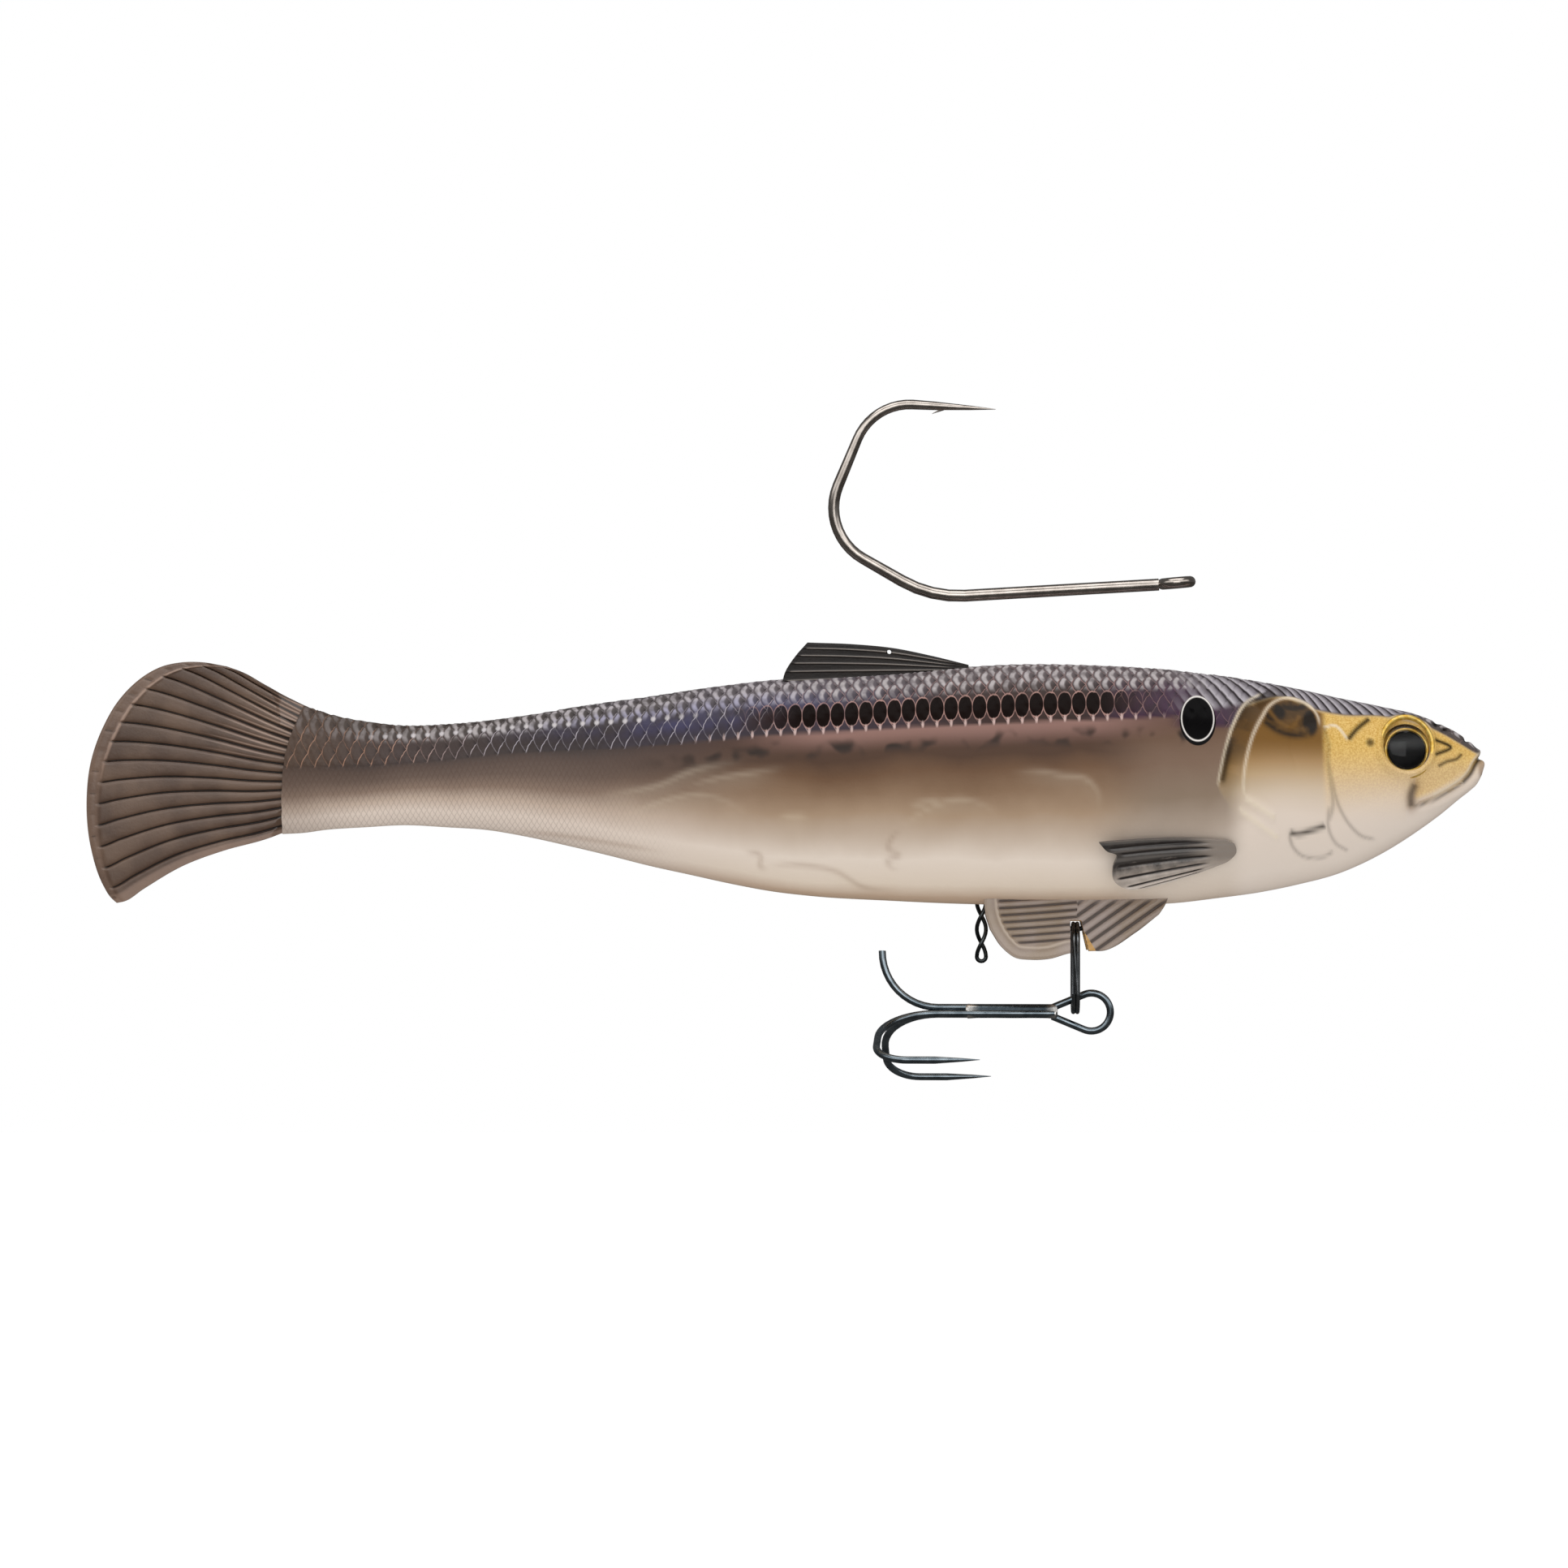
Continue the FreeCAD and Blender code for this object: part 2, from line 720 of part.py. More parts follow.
def pectoral_post(name, side, radius, height):
    cylinder = add("Part::Cylinder", name, Radius=radius, Height=height)
    rotation = pectoral_rotation(side)
    down = rotation.multVec(Z_AXIS) * (float(height) / 2)
    turn(cylinder, rotation)
    return place(
        cylinder,
        x=f"dims.pectoral_root_x - ({down.x:.4f})",
        y=f"{side} * dims.pectoral_root_y - ({down.y:.4f})",
        z=f"dims.pectoral_root_z - ({down.z:.4f})",
    )


def pectoral_fin(name, side):
    blade = leaf(f"{name}_blade", PECTORAL_FIN, "pectoral_fin", "fin_leaf_thickness")
    turn(blade, pectoral_rotation(side))
    place(blade, x="dims.pectoral_root_x", y=f"{side} * dims.pectoral_root_y",
          z="dims.pectoral_root_z")
    bead = pectoral_post(f"{name}_bead", side, "dims.pectoral_root_bead", "2.8")
    return fuse(name, blade, bead)


def pelvic_fin(name, side):
    blade = leaf(name, PELVIC_FIN, "pelvic_fin", "fin_leaf_thickness")
    root_z = size("pelvic_fin_0_z")
    lean = FreeCAD.Rotation(X_AXIS, side * size("pelvic_splay"))
    shift = Vec(0, 0, root_z) - lean.multVec(Vec(0, 0, root_z))
    blade.Placement = FreeCAD.Placement(Vec(0, side * size("pelvic_root_offset"), 0) + shift, lean)
    return blade


def dorsal_fin(name, side):
    blade = leaf(name, DORSAL_FIN, "dorsal_fin", "fin_leaf_thickness")
    return place(blade, y=f"{side} * dims.dorsal_leaf_offset")


# ---- eyes ----

def eye_foil(name, side):
    foil = add("Part::Cylinder", name, Radius="dims.eye_radius", Height="dims.eye_foil_thickness")
    return on_eye(foil, side)


def eye_lens(name, side):
    """Clear dome cast on the foil, built up in cones from its rim to its crown."""
    angles = [0, 35, 75]
    cones = []
    for low, high in zip(angles, angles[1:]):
        cone = add(
            "Part::Cone",
            f"{name}_from_{low}",
            Radius1=f"dims.eye_radius * cos({low}deg)",
            Radius2=f"dims.eye_radius * cos({high}deg)",
            Height=f"dims.eye_lens_bulge * (sin({high}deg) - sin({low}deg))",
        )
        cones.append(on_eye(cone, side, f"dims.eye_foil_thickness + dims.eye_lens_bulge * sin({low}deg)"))
    return fuse(name, *cones)


# ---- leader tube ----

def leader_tube():
    outer = along_tube("tube_outside", "dims.tube_outer_radius", "dims.tube_length")
    bore = along_tube("tube_bore", "dims.tube_bore_radius", "dims.tube_length + 2", start="-1")
    return cut("leader_tube", outer, bore)


# ---- hooks and wires ----

def spike(name, radius, length, sides, point, along):
    """From a wire's end to a sharp point."""
    root = wire_section(f"{name}_root", radius, sides, point, along)
    tip = wire_section(f"{name}_tip", "dims.point_radius", sides, point + along * size(length), along)
    return skin(name, root, tip)


def wire_end(name, rows):
    """The last point of a wire, and the way it heads there."""
    last = len(rows) - 1
    end = Vec(size(f"{name}_{last}_x"), 0, size(f"{name}_{last}_z"))
    before = Vec(size(f"{name}_{last - 1}_x"), 0, size(f"{name}_{last - 1}_z"))
    return end, (end - before).normalize()


def top_hook():
    sides = 6
    wire = bent_wire("top_hook", "top_hook", TOP_HOOK, sides)
    end, heading = wire_end("top_hook", TOP_HOOK)
    last = len(TOP_HOOK) - 1
    spear = spike("top_hook_spear", f"dims.top_hook_{last}_wire", "hook_spear_length", sides, end,
                  heading)
    barb_lean = FreeCAD.Rotation(Y_AXIS, -size("hook_barb_angle"))
    barb = spike("top_hook_barb", "dims.hook_barb_radius", "hook_barb_length", 6,
                 end + heading * size("hook_barb_place"), barb_lean.multVec(-heading))
    centre = Vec(size("hook_eye_x"), 0, size("hook_eye_z"))
    lean = FreeCAD.Rotation(Y_AXIS, -size("hook_eye_tilt"))
    rear = centre + lean.multVec(-X_AXIS) * size("hook_eye_radius")
    section = wire_section("top_hook_eye_section", "dims.hook_eye_wire", sides, rear, Y_AXIS)
    section.Placement = FreeCAD.Placement(rear, lean.multiply(UPRIGHT))
    eye = revolve("top_hook_eye", section, centre, lean.multVec(Z_AXIS), 360)
    return fuse("top_hook", *wire, spear, barb, eye)


def rolled(item, roll):
    """Rolls a piece about the treble's shank."""
    item.Placement = FreeCAD.Placement(Vec(), FreeCAD.Rotation(X_AXIS, roll)).multiply(item.Placement)
    return item


def sharp_prong(label, roll):
    wire = bent_wire(label, "prong", PRONG, 6)
    end, heading = wire_end("prong", PRONG)
    inward = FreeCAD.Rotation(Y_AXIS, size("treble_spear_lean"))
    last = len(PRONG) - 1
    spear = spike(f"{label}_spear", f"dims.prong_{last}_wire", "treble_spear_length", 6, end,
                  inward.multVec(heading))
    barb_lean = FreeCAD.Rotation(Y_AXIS, -size("hook_barb_angle"))
    barb = spike(f"{label}_barb", "dims.treble_barb_radius", "treble_barb_length", 6,
                 end + heading * size("treble_barb_place"), barb_lean.multVec(-heading))
    return rolled(fuse(f"{label}_solid", *wire, spear, barb), roll)


def treble_eye():
    """Drop-shaped eye loop, bent from the same wire as the two sharp prongs."""
    start = Vec(size("treble_eye_start_x"), 0, size("treble_shank_offset"))
    centre = Vec(size("treble_eye_x"), 0, 0)
    radius = size("treble_eye_radius")
    gap = centre - start
    lean = math.atan2(gap.z, gap.x) + math.asin(radius / gap.Length)
    top = start + Vec(math.cos(lean), 0, math.sin(lean)) * math.sqrt(gap.Length ** 2 - radius ** 2)
    ends = [start, top, Vec(top.x, 0, -top.z), Vec(start.x, 0, -start.z)]
    heading = top - start
    sections = []
    for number, (point, along) in enumerate(zip(ends, (heading, heading, Vec(-heading.x, 0, heading.z),
                                                       Vec(-heading.x, 0, heading.z)))):
        sections.append(wire_section(f"treble_eye_section_{number}", "dims.treble_wire_radius", 6,
                                     point, along))
    loop = revolve("treble_eye_loop", sections[1], centre, Y_AXIS, 180 + 2 * math.degrees(lean))
    return fuse("treble_eye", skin("treble_eye_upper", *sections[:2]), loop,
                skin("treble_eye_lower", *sections[2:]))


def hang_treble(item):
    """Hooks a treble piece, made about its own shank, into the bottom of the split ring."""
    yaw = FreeCAD.Rotation(Z_AXIS, size("treble_yaw"))
    ring_foot = FreeCAD.Placement(Vec(size("ring_x"), 0, size("ring_low_z")), yaw)
    item.Placement = ring_foot.multiply(item.Placement)
    return item


def treble_hook():
    roll = size("treble_roll_blunt")
    main = fuse("treble_main_wire", sharp_prong("near_prong", roll + 120),
                sharp_prong("far_prong", roll + 240), treble_eye())
    blunt = fuse("treble_third_prong", *bent_wire("third_prong", "blunt_prong", BLUNT_PRONG, 6))
    braze = add("Part::Cylinder", "treble_braze", Radius="dims.treble_braze_radius",
                Height="dims.treble_braze_length")
    braze.Placement = FreeCAD.Placement(
        Vec(size("treble_braze_start_x"), 0, 0), FreeCAD.Rotation(Z_AXIS, X_AXIS))
    return [hang_treble(piece) for piece in (main, rolled(blunt, roll), braze)]


def ring_turn(name, offset):
    """One closed turn of the split ring's wire: two straight sides and a half circle at each end."""
    half = size("ring_half_width")
    top = size("ring_top_z") - half
    low = size("ring_low_z") + half
    sections = {}
    for side in (1, -1):
        for level_name, level in (("low", low), ("top", top)):
            key = f"{level_name}_{'left' if side > 0 else 'right'}"
            sections[key] = wire_section(f"{name}_{key}", "dims.ring_wire_radius", 6,
                                         Vec(offset, side * half, level), Z_AXIS)
    return [
        skin(f"{name}_left_side", sections["low_left"], sections["top_left"]),
        revolve(f"{name}_upper", sections["top_left"], Vec(0, 0, top), X_AXIS, 180),
        skin(f"{name}_right_side", sections["top_right"], sections["low_right"]),
        revolve(f"{name}_lower", sections["low_right"], Vec(0, 0, low), X_AXIS, 180),
    ]


def split_ring():
    """Oval split ring of two close turns."""
    front = ring_turn("ring_front", size("ring_turn_offset"))
    rear = ring_turn("ring_rear", -size("ring_turn_offset"))
    return place(fuse("split_ring", *front, *rear), x="dims.ring_x")


def hanger_strand(number):
    """One wire of the twisted pair, laid along its screw line in short straight steps."""
    radius = size("hanger_radius")
    pitch = size("hanger_pitch")
    steps = 8
    sections = []
    for step in range(steps + 1):
        height = size("hanger_height") * step / steps
        angle = 2 * math.pi * height / pitch + math.pi * number
        out = Vec(math.cos(angle), math.sin(angle), 0) * radius
        along = Vec(-out.y, out.x, pitch / (2 * math.pi))
        sections.append(wire_section(f"hanger_{number}_section_{step}", "dims.hanger_wire_radius", 6,
                                     out + Vec(0, 0, height), along))
    return skin(f"hanger_strand_{number}", *sections)


def rear_hanger():
    """Twisted pair of wires below the belly, closed by a round turn at its foot."""
    foot_section = wire_section("hanger_foot_section", "dims.hanger_wire_radius", 6,
                                Vec(size("hanger_radius"), 0, 0), Z_AXIS)
    foot = revolve("hanger_foot", foot_section, Vec(), Y_AXIS, 180)
    hanger = fuse("rear_hanger", hanger_strand(0), hanger_strand(1), foot)
    return place(hanger, x="dims.hanger_x", z="dims.hanger_low_z")


# ---- the assembly ----

weight = belly_weight()
treble_main, treble_blunt, treble_braze = treble_hook()
NODES = {
    "soft_body": soft_body(weight),
    "tail_stock": tail_stock(),
    "tail_fin": tail_fin(),
    "dorsal_fin_right": dorsal_fin("dorsal_fin_right", -1),
    "dorsal_fin_left": dorsal_fin("dorsal_fin_left", 1),
    "pelvic_fin_right": pelvic_fin("pelvic_fin_right", -1),
    "pelvic_fin_left": pelvic_fin("pelvic_fin_left", 1),
    "pectoral_fin_right": pectoral_fin("pectoral_fin_right", -1),
    "pectoral_fin_left": pectoral_fin("pectoral_fin_left", 1),
    "eye_foil_right": eye_foil("eye_foil_right", -1),
    "eye_foil_left": eye_foil("eye_foil_left", 1),
    "eye_lens_right": eye_lens("eye_lens_right", -1),
    "eye_lens_left": eye_lens("eye_lens_left", 1),
    "leader_tube": leader_tube(),
    "belly_weight": weight,
    "harness_wire": fuse("harness_wire", *bent_wire("harness", "harness", HARNESS, 6)),
    "rear_hanger": rear_hanger(),
    "split_ring": split_ring(),
    "top_hook": top_hook(),
    "treble_main_wire": treble_main,
    "treble_third_prong": treble_blunt,
    "treble_braze": treble_braze,
}
for node_name, node in NODES.items():
    node.Label = node_name
doc.recompute()

for item in doc.Objects:
    if {"Invalid", "Error"} & set(item.State):
        raise RuntimeError(f"{item.Label} failed: {item.State}")
for node_name, node in NODES.items():
    if node.Shape.isNull() or not node.Shape.isValid():
        raise RuntimeError(f"{node_name} has no valid shape")
    if len(node.Shape.Solids) != 1:
        raise RuntimeError(f"{node_name} has {len(node.Shape.Solids)} solids")

os.makedirs("parts", exist_ok=True)
for node_name, node in NODES.items():
    node.Shape.exportStep(f"parts/{node_name}.step")
    print(f"{node_name}: {node.Shape.Volume:.1f} cubic mm")
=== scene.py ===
import math

import bpy
import numpy as np
from mathutils import Matrix, Vector


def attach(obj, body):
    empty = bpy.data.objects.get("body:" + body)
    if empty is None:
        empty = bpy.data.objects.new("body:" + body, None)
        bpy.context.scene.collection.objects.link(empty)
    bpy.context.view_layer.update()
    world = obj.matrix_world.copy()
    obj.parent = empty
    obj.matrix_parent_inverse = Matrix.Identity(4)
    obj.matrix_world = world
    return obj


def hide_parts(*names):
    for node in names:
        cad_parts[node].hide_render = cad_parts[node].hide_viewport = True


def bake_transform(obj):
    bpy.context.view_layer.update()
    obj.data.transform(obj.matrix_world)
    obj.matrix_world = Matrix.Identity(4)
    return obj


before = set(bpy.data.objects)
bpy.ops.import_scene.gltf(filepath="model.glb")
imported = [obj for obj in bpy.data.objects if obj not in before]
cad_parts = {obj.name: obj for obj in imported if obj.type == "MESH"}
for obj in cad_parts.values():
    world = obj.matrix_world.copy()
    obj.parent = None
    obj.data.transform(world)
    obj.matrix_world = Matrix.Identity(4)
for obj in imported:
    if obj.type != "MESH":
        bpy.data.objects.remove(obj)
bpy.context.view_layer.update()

# Looks of the soft swimbait. Measures in this file are millimetres in the frame of the solids, head
# towards +X and back towards +Z; MM turns them to metres where a mesh or a lamp is made.

MM = 0.001

# Where the moulded body ends.
FISH_END = -174.3
# The moulded fish in side view: place along it, back and belly.
OUTLINE = [
    (-174.3, 9.4, -10.6), (-170.7, 8.1, -10.4), (-167.8, 7.1, -10.0), (-161.9, 5.8, -9.6),
    (-156.0, 5.2, -9.3), (-150.1, 5.4, -9.6), (-144.2, 5.9, -10.0), (-138.3, 6.7, -11.0),
    (-132.4, 7.7, -12.3), (-126.5, 8.6, -13.7), (-120.6, 9.4, -15.2), (-114.7, 10.3, -16.5),
    (-108.8, 11.1, -17.8), (-102.9, 11.8, -18.9), (-97.0, 12.2, -19.6), (-85.2, 12.9, -20.3),
    (-76.3, 13.7, -20.7), (-67.5, 14.2, -20.9), (-52.7, 13.9, -20.9), (-43.9, 13.3, -20.6),
    (-38.0, 12.5, -19.9), (-32.1, 11.6, -19.1), (-26.2, 10.5, -17.9), (-20.3, 9.2, -16.3),
    (-14.4, 8.0, -13.6), (-8.5, 6.6, -9.9), (-5.5, 5.4, -7.7), (-2.6, 3.8, -5.3),
    (-1.2, 2.8, -4.2), (-0.2, 1.7, -3.2), (0.7, 0.5, -1.4),
]
# Half its width along the way.
GIRTH = [
    (-174.3, 1.9), (-167.8, 2.6), (-156.0, 3.7), (-144.2, 4.9), (-132.4, 6.2), (-120.6, 7.6),
    (-108.8, 8.9), (-97.0, 9.9), (-85.2, 10.6), (-70.4, 11.0), (-52.7, 11.2), (-40.9, 11.0),
    (-29.1, 10.4), (-20.3, 9.4), (-11.4, 7.6), (-5.5, 5.6), (-2.2, 3.9), (-0.2, 2.4), (0.7, 1.0),
]
# Lower border of the scales, in side view.
SCALE_BORDER = [
    (-174.3, -0.9), (-160.1, -0.5), (-151.3, 0.1), (-141.1, 1.2), (-131.1, 1.6), (-120.7, 2.2),
    (-110.4, 3.1), (-102.5, 3.8), (-92.2, 4.3), (-81.8, 5.0), (-71.4, 5.4), (-63.2, 5.8),
    (-56.0, 6.0), (-47.9, 6.3), (-43.4, 6.5), (-35.6, 7.6), (-28.6, 9.2), (-24.2, 7.4),
    (-20.3, 6.6), (-14.4, 6.4), (-8.0, 5.0), (0.7, 0.3),
]
SCALE_PITCH = 2.05

# Lines of the head in side view.
HEAD_LINES = {
    "outer_arc": [(-31.9, 9.8), (-34.2, 8.5), (-36.0, 5.7), (-37.2, 2.4), (-38.0, -0.9),
                  (-38.5, -3.5)],
    "cover_arc": [(-34.7, -5.0), (-34.8, -3.5), (-34.7, -1.6), (-34.2, 1.1), (-33.4, 3.7),
                  (-32.0, 6.4), (-30.9, 8.0), (-29.3, 9.0), (-26.9, 9.0), (-24.9, 8.0),
                  (-23.8, 6.4), (-23.6, 5.1)],
    "preopercle": [(-23.1, 5.3), (-22.5, 3.1), (-22.5, -0.2), (-22.1, -3.5), (-21.8, -6.3),
                   (-22.4, -8.8)],
    "gill_slit": [(-28.1, -10.2), (-27.3, -10.5), (-24.9, -10.0), (-22.8, -9.3)],
    "lobe": [(-28.1, -10.4), (-27.6, -12.2), (-26.0, -13.7), (-24.3, -14.0), (-22.6, -13.7),
             (-21.5, -12.9)],
    "throat": [(-22.3, -6.6), (-22.4, -9.6), (-21.2, -11.9), (-19.3, -13.0)],
    "cheek": [(-22.1, 3.1), (-22.4, 0.4), (-21.9, -2.9), (-20.9, -6.6), (-19.3, -9.2),
              (-17.3, -10.9), (-15.3, -11.3)],
    "ridge_upper": [(-34.7, -5.2), (-30.2, -8.2)],
    "ridge_lower": [(-35.5, -6.9), (-29.6, -11.2)],
    "brow": [(-23.1, 4.8), (-21.6, 5.2), (-19.5, 3.1)],
    "brow_crack": [(-19.5, 3.1), (-18.3, 4.5), (-16.2, 6.2)],
    "snout_mark": [(-6.9, 3.2), (-4.4, 2.0), (-6.9, 0.9)],
    "lip_fold": [(-2.7, 1.1), (-3.4, 0.4), (-5.1, -0.1), (-6.4, -0.8)],
    "mouth": [(1.2, 0.9), (0.2, 0.5), (-0.6, -0.4), (-1.4, -1.8), (-6.0, -5.1), (-10.4, -6.8)],
    "maxilla": [(-9.7, -3.3), (-10.3, -5.0), (-10.2, -6.6)],
}
# Rear edge of the gill covers: height and place.
PLATES_REAR = [(-14.0, -33.0), (-7.0, -36.5), (-3.5, -38.5), (-0.9, -38.0), (2.4, -37.2),
               (5.7, -36.0), (8.5, -34.2), (10.2, -31.5), (12.0, -29.0)]
# Steps along the head's lines: height, half width of the step, reach of the raised side, its sign.
HEAD_STEPS = [("outer_arc", 0.5, 0.22, 2.2, 1), ("cover_arc", 0.55, 0.22, 3.0, -1),
              ("preopercle", 0.25, 0.2, 2.5, 1)]
# Grooves along the head's lines: depth, below 0 for a ridge, and width.
HEAD_GROOVES = [("gill_slit", 0.3, 0.45), ("lobe", 0.22, 0.25), ("throat", 0.2, 0.25),
                ("cheek", 0.22, 0.25), ("ridge_upper", -0.35, 0.5), ("ridge_lower", -0.35, 0.5),
                ("brow", -0.25, 0.3), ("brow_crack", 0.3, 0.3), ("snout_mark", 0.25, 0.25),
                ("lip_fold", 0.2, 0.25)]
# Dark strokes along the head's lines, the maxilla's being painted shade, and pale strokes that are
# painted highlights on raised edges and ridges: width and strength.
INK_STROKES = [("gill_slit", 0.4, 0.85), ("brow_crack", 0.36, 1.0), ("snout_mark", 0.27, 1.0),
               ("lip_fold", 0.24, 0.8), ("maxilla", 0.55, 0.65), ("preopercle", 0.3, 0.35),
               ("cheek", 0.26, 0.32), ("lobe", 0.26, 0.34), ("throat", 0.26, 0.3)]
HIGHLIGHT_STROKES = [("outer_arc", 0.17, 0.85), ("cover_arc", 0.18, 0.85), ("brow", 0.2, 1.0),
                 ("ridge_upper", 0.35, 0.7), ("ridge_lower", 0.35, 0.7)]
# The two nostrils and the pore over the lip: middle, half size carved and half size inked.
PORES = [((-6.3, 5.4), (0.55, 0.4), (0.6, 0.45)), ((-5.2, 4.6), (0.5, 0.4), (0.55, 0.4)),
         ((-1.8, 3.1), (0.45, 0.4), (0.5, 0.45))]
# Dark marbling on the gill cover's top. Patches: strength, reaches between which each fades in,
# middle and half size. The hollow is a dark stroke, the vein a gap that lets the gold show.
COVER_PATCHES = [(0.66, 1.2, 0.85, (-27.4, 6.3), (3.9, 2.7)), (1.0, 1.25, 0.75, (-25.0, 5.6), (1.2, 2.0)),
                 (1.0, 1.3, 0.6, (-30.0, 7.0), (1.9, 1.6)), (0.95, 1.3, 0.5, (-27.2, 7.9), (2.8, 0.9))]
COVER_HOLLOW = [(-31.4, 5.6), (-29.8, 4.5), (-27.4, 3.8), (-25.6, 3.9)]
COVER_VEIN = [(-31.0, 7.4), (-29.4, 5.6), (-27.6, 5.0), (-26.6, 6.4)]
# Milky flow marks and brown seams in the poured flank.
FLOW_LINES = [
    [(-127.3, -9.0), (-122.7, -7.4), (-117.1, -5.4), (-112.5, -4.9), (-108.4, -6.3), (-105.4, -8.5)],
    [(-130.4, -5.2), (-124.3, -4.6), (-118.6, -3.4), (-115.1, -1.8), (-105.9, 0.2)],
    [(-117.6, -4.4), (-111.0, -2.6), (-103.8, -1.5), (-99.7, -0.8)],
    [(-102.6, -8.4), (-99.6, -8.0), (-96.6, -8.1)],
    [(-85.4, -10.5), (-83.4, -9.0), (-79.8, -6.7), (-75.7, -5.6), (-72.2, -6.4), (-69.6, -8.5)],
    [(-69.1, -1.8), (-65.0, -1.5), (-60.9, -2.1), (-57.3, -2.8), (-55.8, -4.6), (-55.6, -6.9),
     (-54.8, -8.3)],
    [(-83.4, -6.7), (-80.6, -6.0), (-77.3, -5.6)],
]
SEAM_LINES = [
    [(-141.8, -9.9), (-132.4, -10.9), (-125.3, -12.0), (-117.1, -13.4)],
    [(-104.6, -15.4), (-101.0, -15.0), (-97.7, -15.1), (-93.6, -15.9), (-89.5, -18.2), (-84.0, -18.6)],
    [(-107.0, -13.2), (-104.4, -13.7), (-104.4, -15.3), (-102.8, -15.4)],
    [(-83.2, -9.3), (-85.4, -11.0), (-86.0, -12.6), (-84.4, -13.6), (-86.1, -14.6), (-85.4, -15.4),
     (-83.6, -15.2)],
]
# The eye's seat, and the turn forwards and up of the way it looks.
EYE_AT = Vector((-11.1, 6.0, 1.9))
EYE_TURN = math.radians(9.0)
EYE_RADIUS = 3.5
# The shoulder spot: middle, half its size, and half the size of the white ring in it.
SPOT_AT = (-41.3, 5.85)
SPOT_HALF = (2.62, 3.6)
SPOT_RING = (2.33, 3.2)
# What is cut from the back, from low corner to high corner: the hook's slot, and the pocket for its
# eye. The leader's bore runs back from the lips and falls by the slope.
SLOT_BOX = ((-95.6, -1.3, -13.0), (-39.0, 1.3, 30.0))
POCKET_BOX = ((-50.0, -3.15, -13.6), (-38.0, 3.15, 10.5))
BORE_SLOPE = math.radians(13.13)
BORE_RADIUS = 0.8


# ---- working by hand: selection, points and lines ----

def clear_selection():
    if bpy.context.mode != "OBJECT":
        bpy.ops.object.mode_set(mode="OBJECT")
    bpy.ops.object.select_all(action="DESELECT")


def take(item):
    clear_selection()
    item.select_set(True)
    bpy.context.view_layer.objects.active = item


def edit(item=None):
    if item:
        take(item)
    bpy.ops.object.mode_set(mode="EDIT")


def leave_edit():
    bpy.ops.object.mode_set(mode="OBJECT")


def named(name):
    item = bpy.context.object
    item.name = name
    item.data.name = name
    return item


def points_of(item):
    """Every vertex of a mesh, in millimetres."""
    flat = np.zeros(len(item.data.vertices) * 3)
    item.data.vertices.foreach_get("co", flat)
    return flat.reshape(-1, 3) / MM


def move_points(item, points):
    item.data.vertices.foreach_set("co", (points * MM).ravel())
    item.data.update()


def normals_of(item):
    flat = np.zeros(len(item.data.vertices) * 3)
    item.data.vertex_normals.foreach_get("vector", flat)
    return flat.reshape(-1, 3)


def settle(item):
    """Puts a piece's place into its mesh, so that its object sits at the origin."""
    take(item)
    bpy.ops.object.transform_apply(location=True, rotation=True, scale=True)
    return item


def modify(item, kind, **settings):
    take(item)
    bpy.ops.object.modifier_add(type=kind)
    modifier = item.modifiers[-1]
    for setting, value in settings.items():
        setattr(modifier, setting, value)
    bpy.ops.object.modifier_apply(modifier=modifier.name)


def smooth(item, angle=40):
    take(item)
    bpy.ops.object.shade_smooth_by_angle(angle=math.radians(angle))


def face_outwards(item):
    edit(item)
    bpy.ops.mesh.select_all(action="SELECT")
    bpy.ops.mesh.remove_doubles(threshold=0.002 * MM)
    bpy.ops.mesh.normals_make_consistent(inside=False)
    leave_edit()
    return item


def follow(rows, column, x):
    """A measure that runs smoothly through rows of places and values."""
    places = np.array([row[0] for row in rows], float)
    values = np.array([row[column] for row in rows], float)
    slopes = np.gradient(values, places)
    x = np.clip(x, places[0], places[-1])
    low = np.clip(np.searchsorted(places, x) - 1, 0, len(places) - 2)
    span = places[low + 1] - places[low]
    share = (x - places[low]) / span
    rest = 1 - share
    return (
        values[low] * (1 + 2 * share) * rest**2
        + values[low + 1] * (3 - 2 * share) * share**2
        + slopes[low] * span * share * rest**2
        - slopes[low + 1] * span * rest * share**2
    )


def ease(low, high, value):
    share = np.clip((value - low) / (high - low), 0, 1)
    return share * share * (3 - 2 * share)


def between(value, start, full, fade, end):
    """Rises from 0 at start to 1 at full and falls from fade to 0 at end."""
    return ease(start, full, value) * ease(end, fade, value)


def hump(gap, width):
    """1 on a line, fading away beside it over about its width."""
    return np.exp(-((gap / width) ** 2))


def smooth_line(corners, count=40):
    """Points at even steps on a smooth line through a few corners."""
    corners = np.array(corners, float)
    steps = np.linalg.norm(np.diff(corners, axis=0), axis=1)
    run = np.concatenate([[0], np.cumsum(steps)])
    rows = np.column_stack([run / run[-1], corners])
    at = np.linspace(0, 1, count)
    return np.column_stack([follow(rows, 1, at), follow(rows, 2, at)])


def near_line(x, z, corners, count=40):
    """Distance from each point to a line, its side (plus on the left of its run) and how far along."""
    line = smooth_line(corners, count)
    best = np.full(len(x), 1e9)
    side = np.zeros(len(x))
    along = np.zeros(len(x))
    for number, (start, end) in enumerate(zip(line, line[1:])):
        run = end - start
        share = np.clip(((x - start[0]) * run[0] + (z - start[1]) * run[1]) / (run @ run), 0, 1)
        gap_x = x - start[0] - share * run[0]
        gap_z = z - start[1] - share * run[1]
        gap = np.hypot(gap_x, gap_z)
        nearer = gap < best
        best[nearer] = gap[nearer]
        side[nearer] = (run[0] * gap_z - run[1] * gap_x)[nearer]
        along[nearer] = ((number + share) / (count - 1))[nearer]
    return best, np.sign(side), along


# ---- materials ----

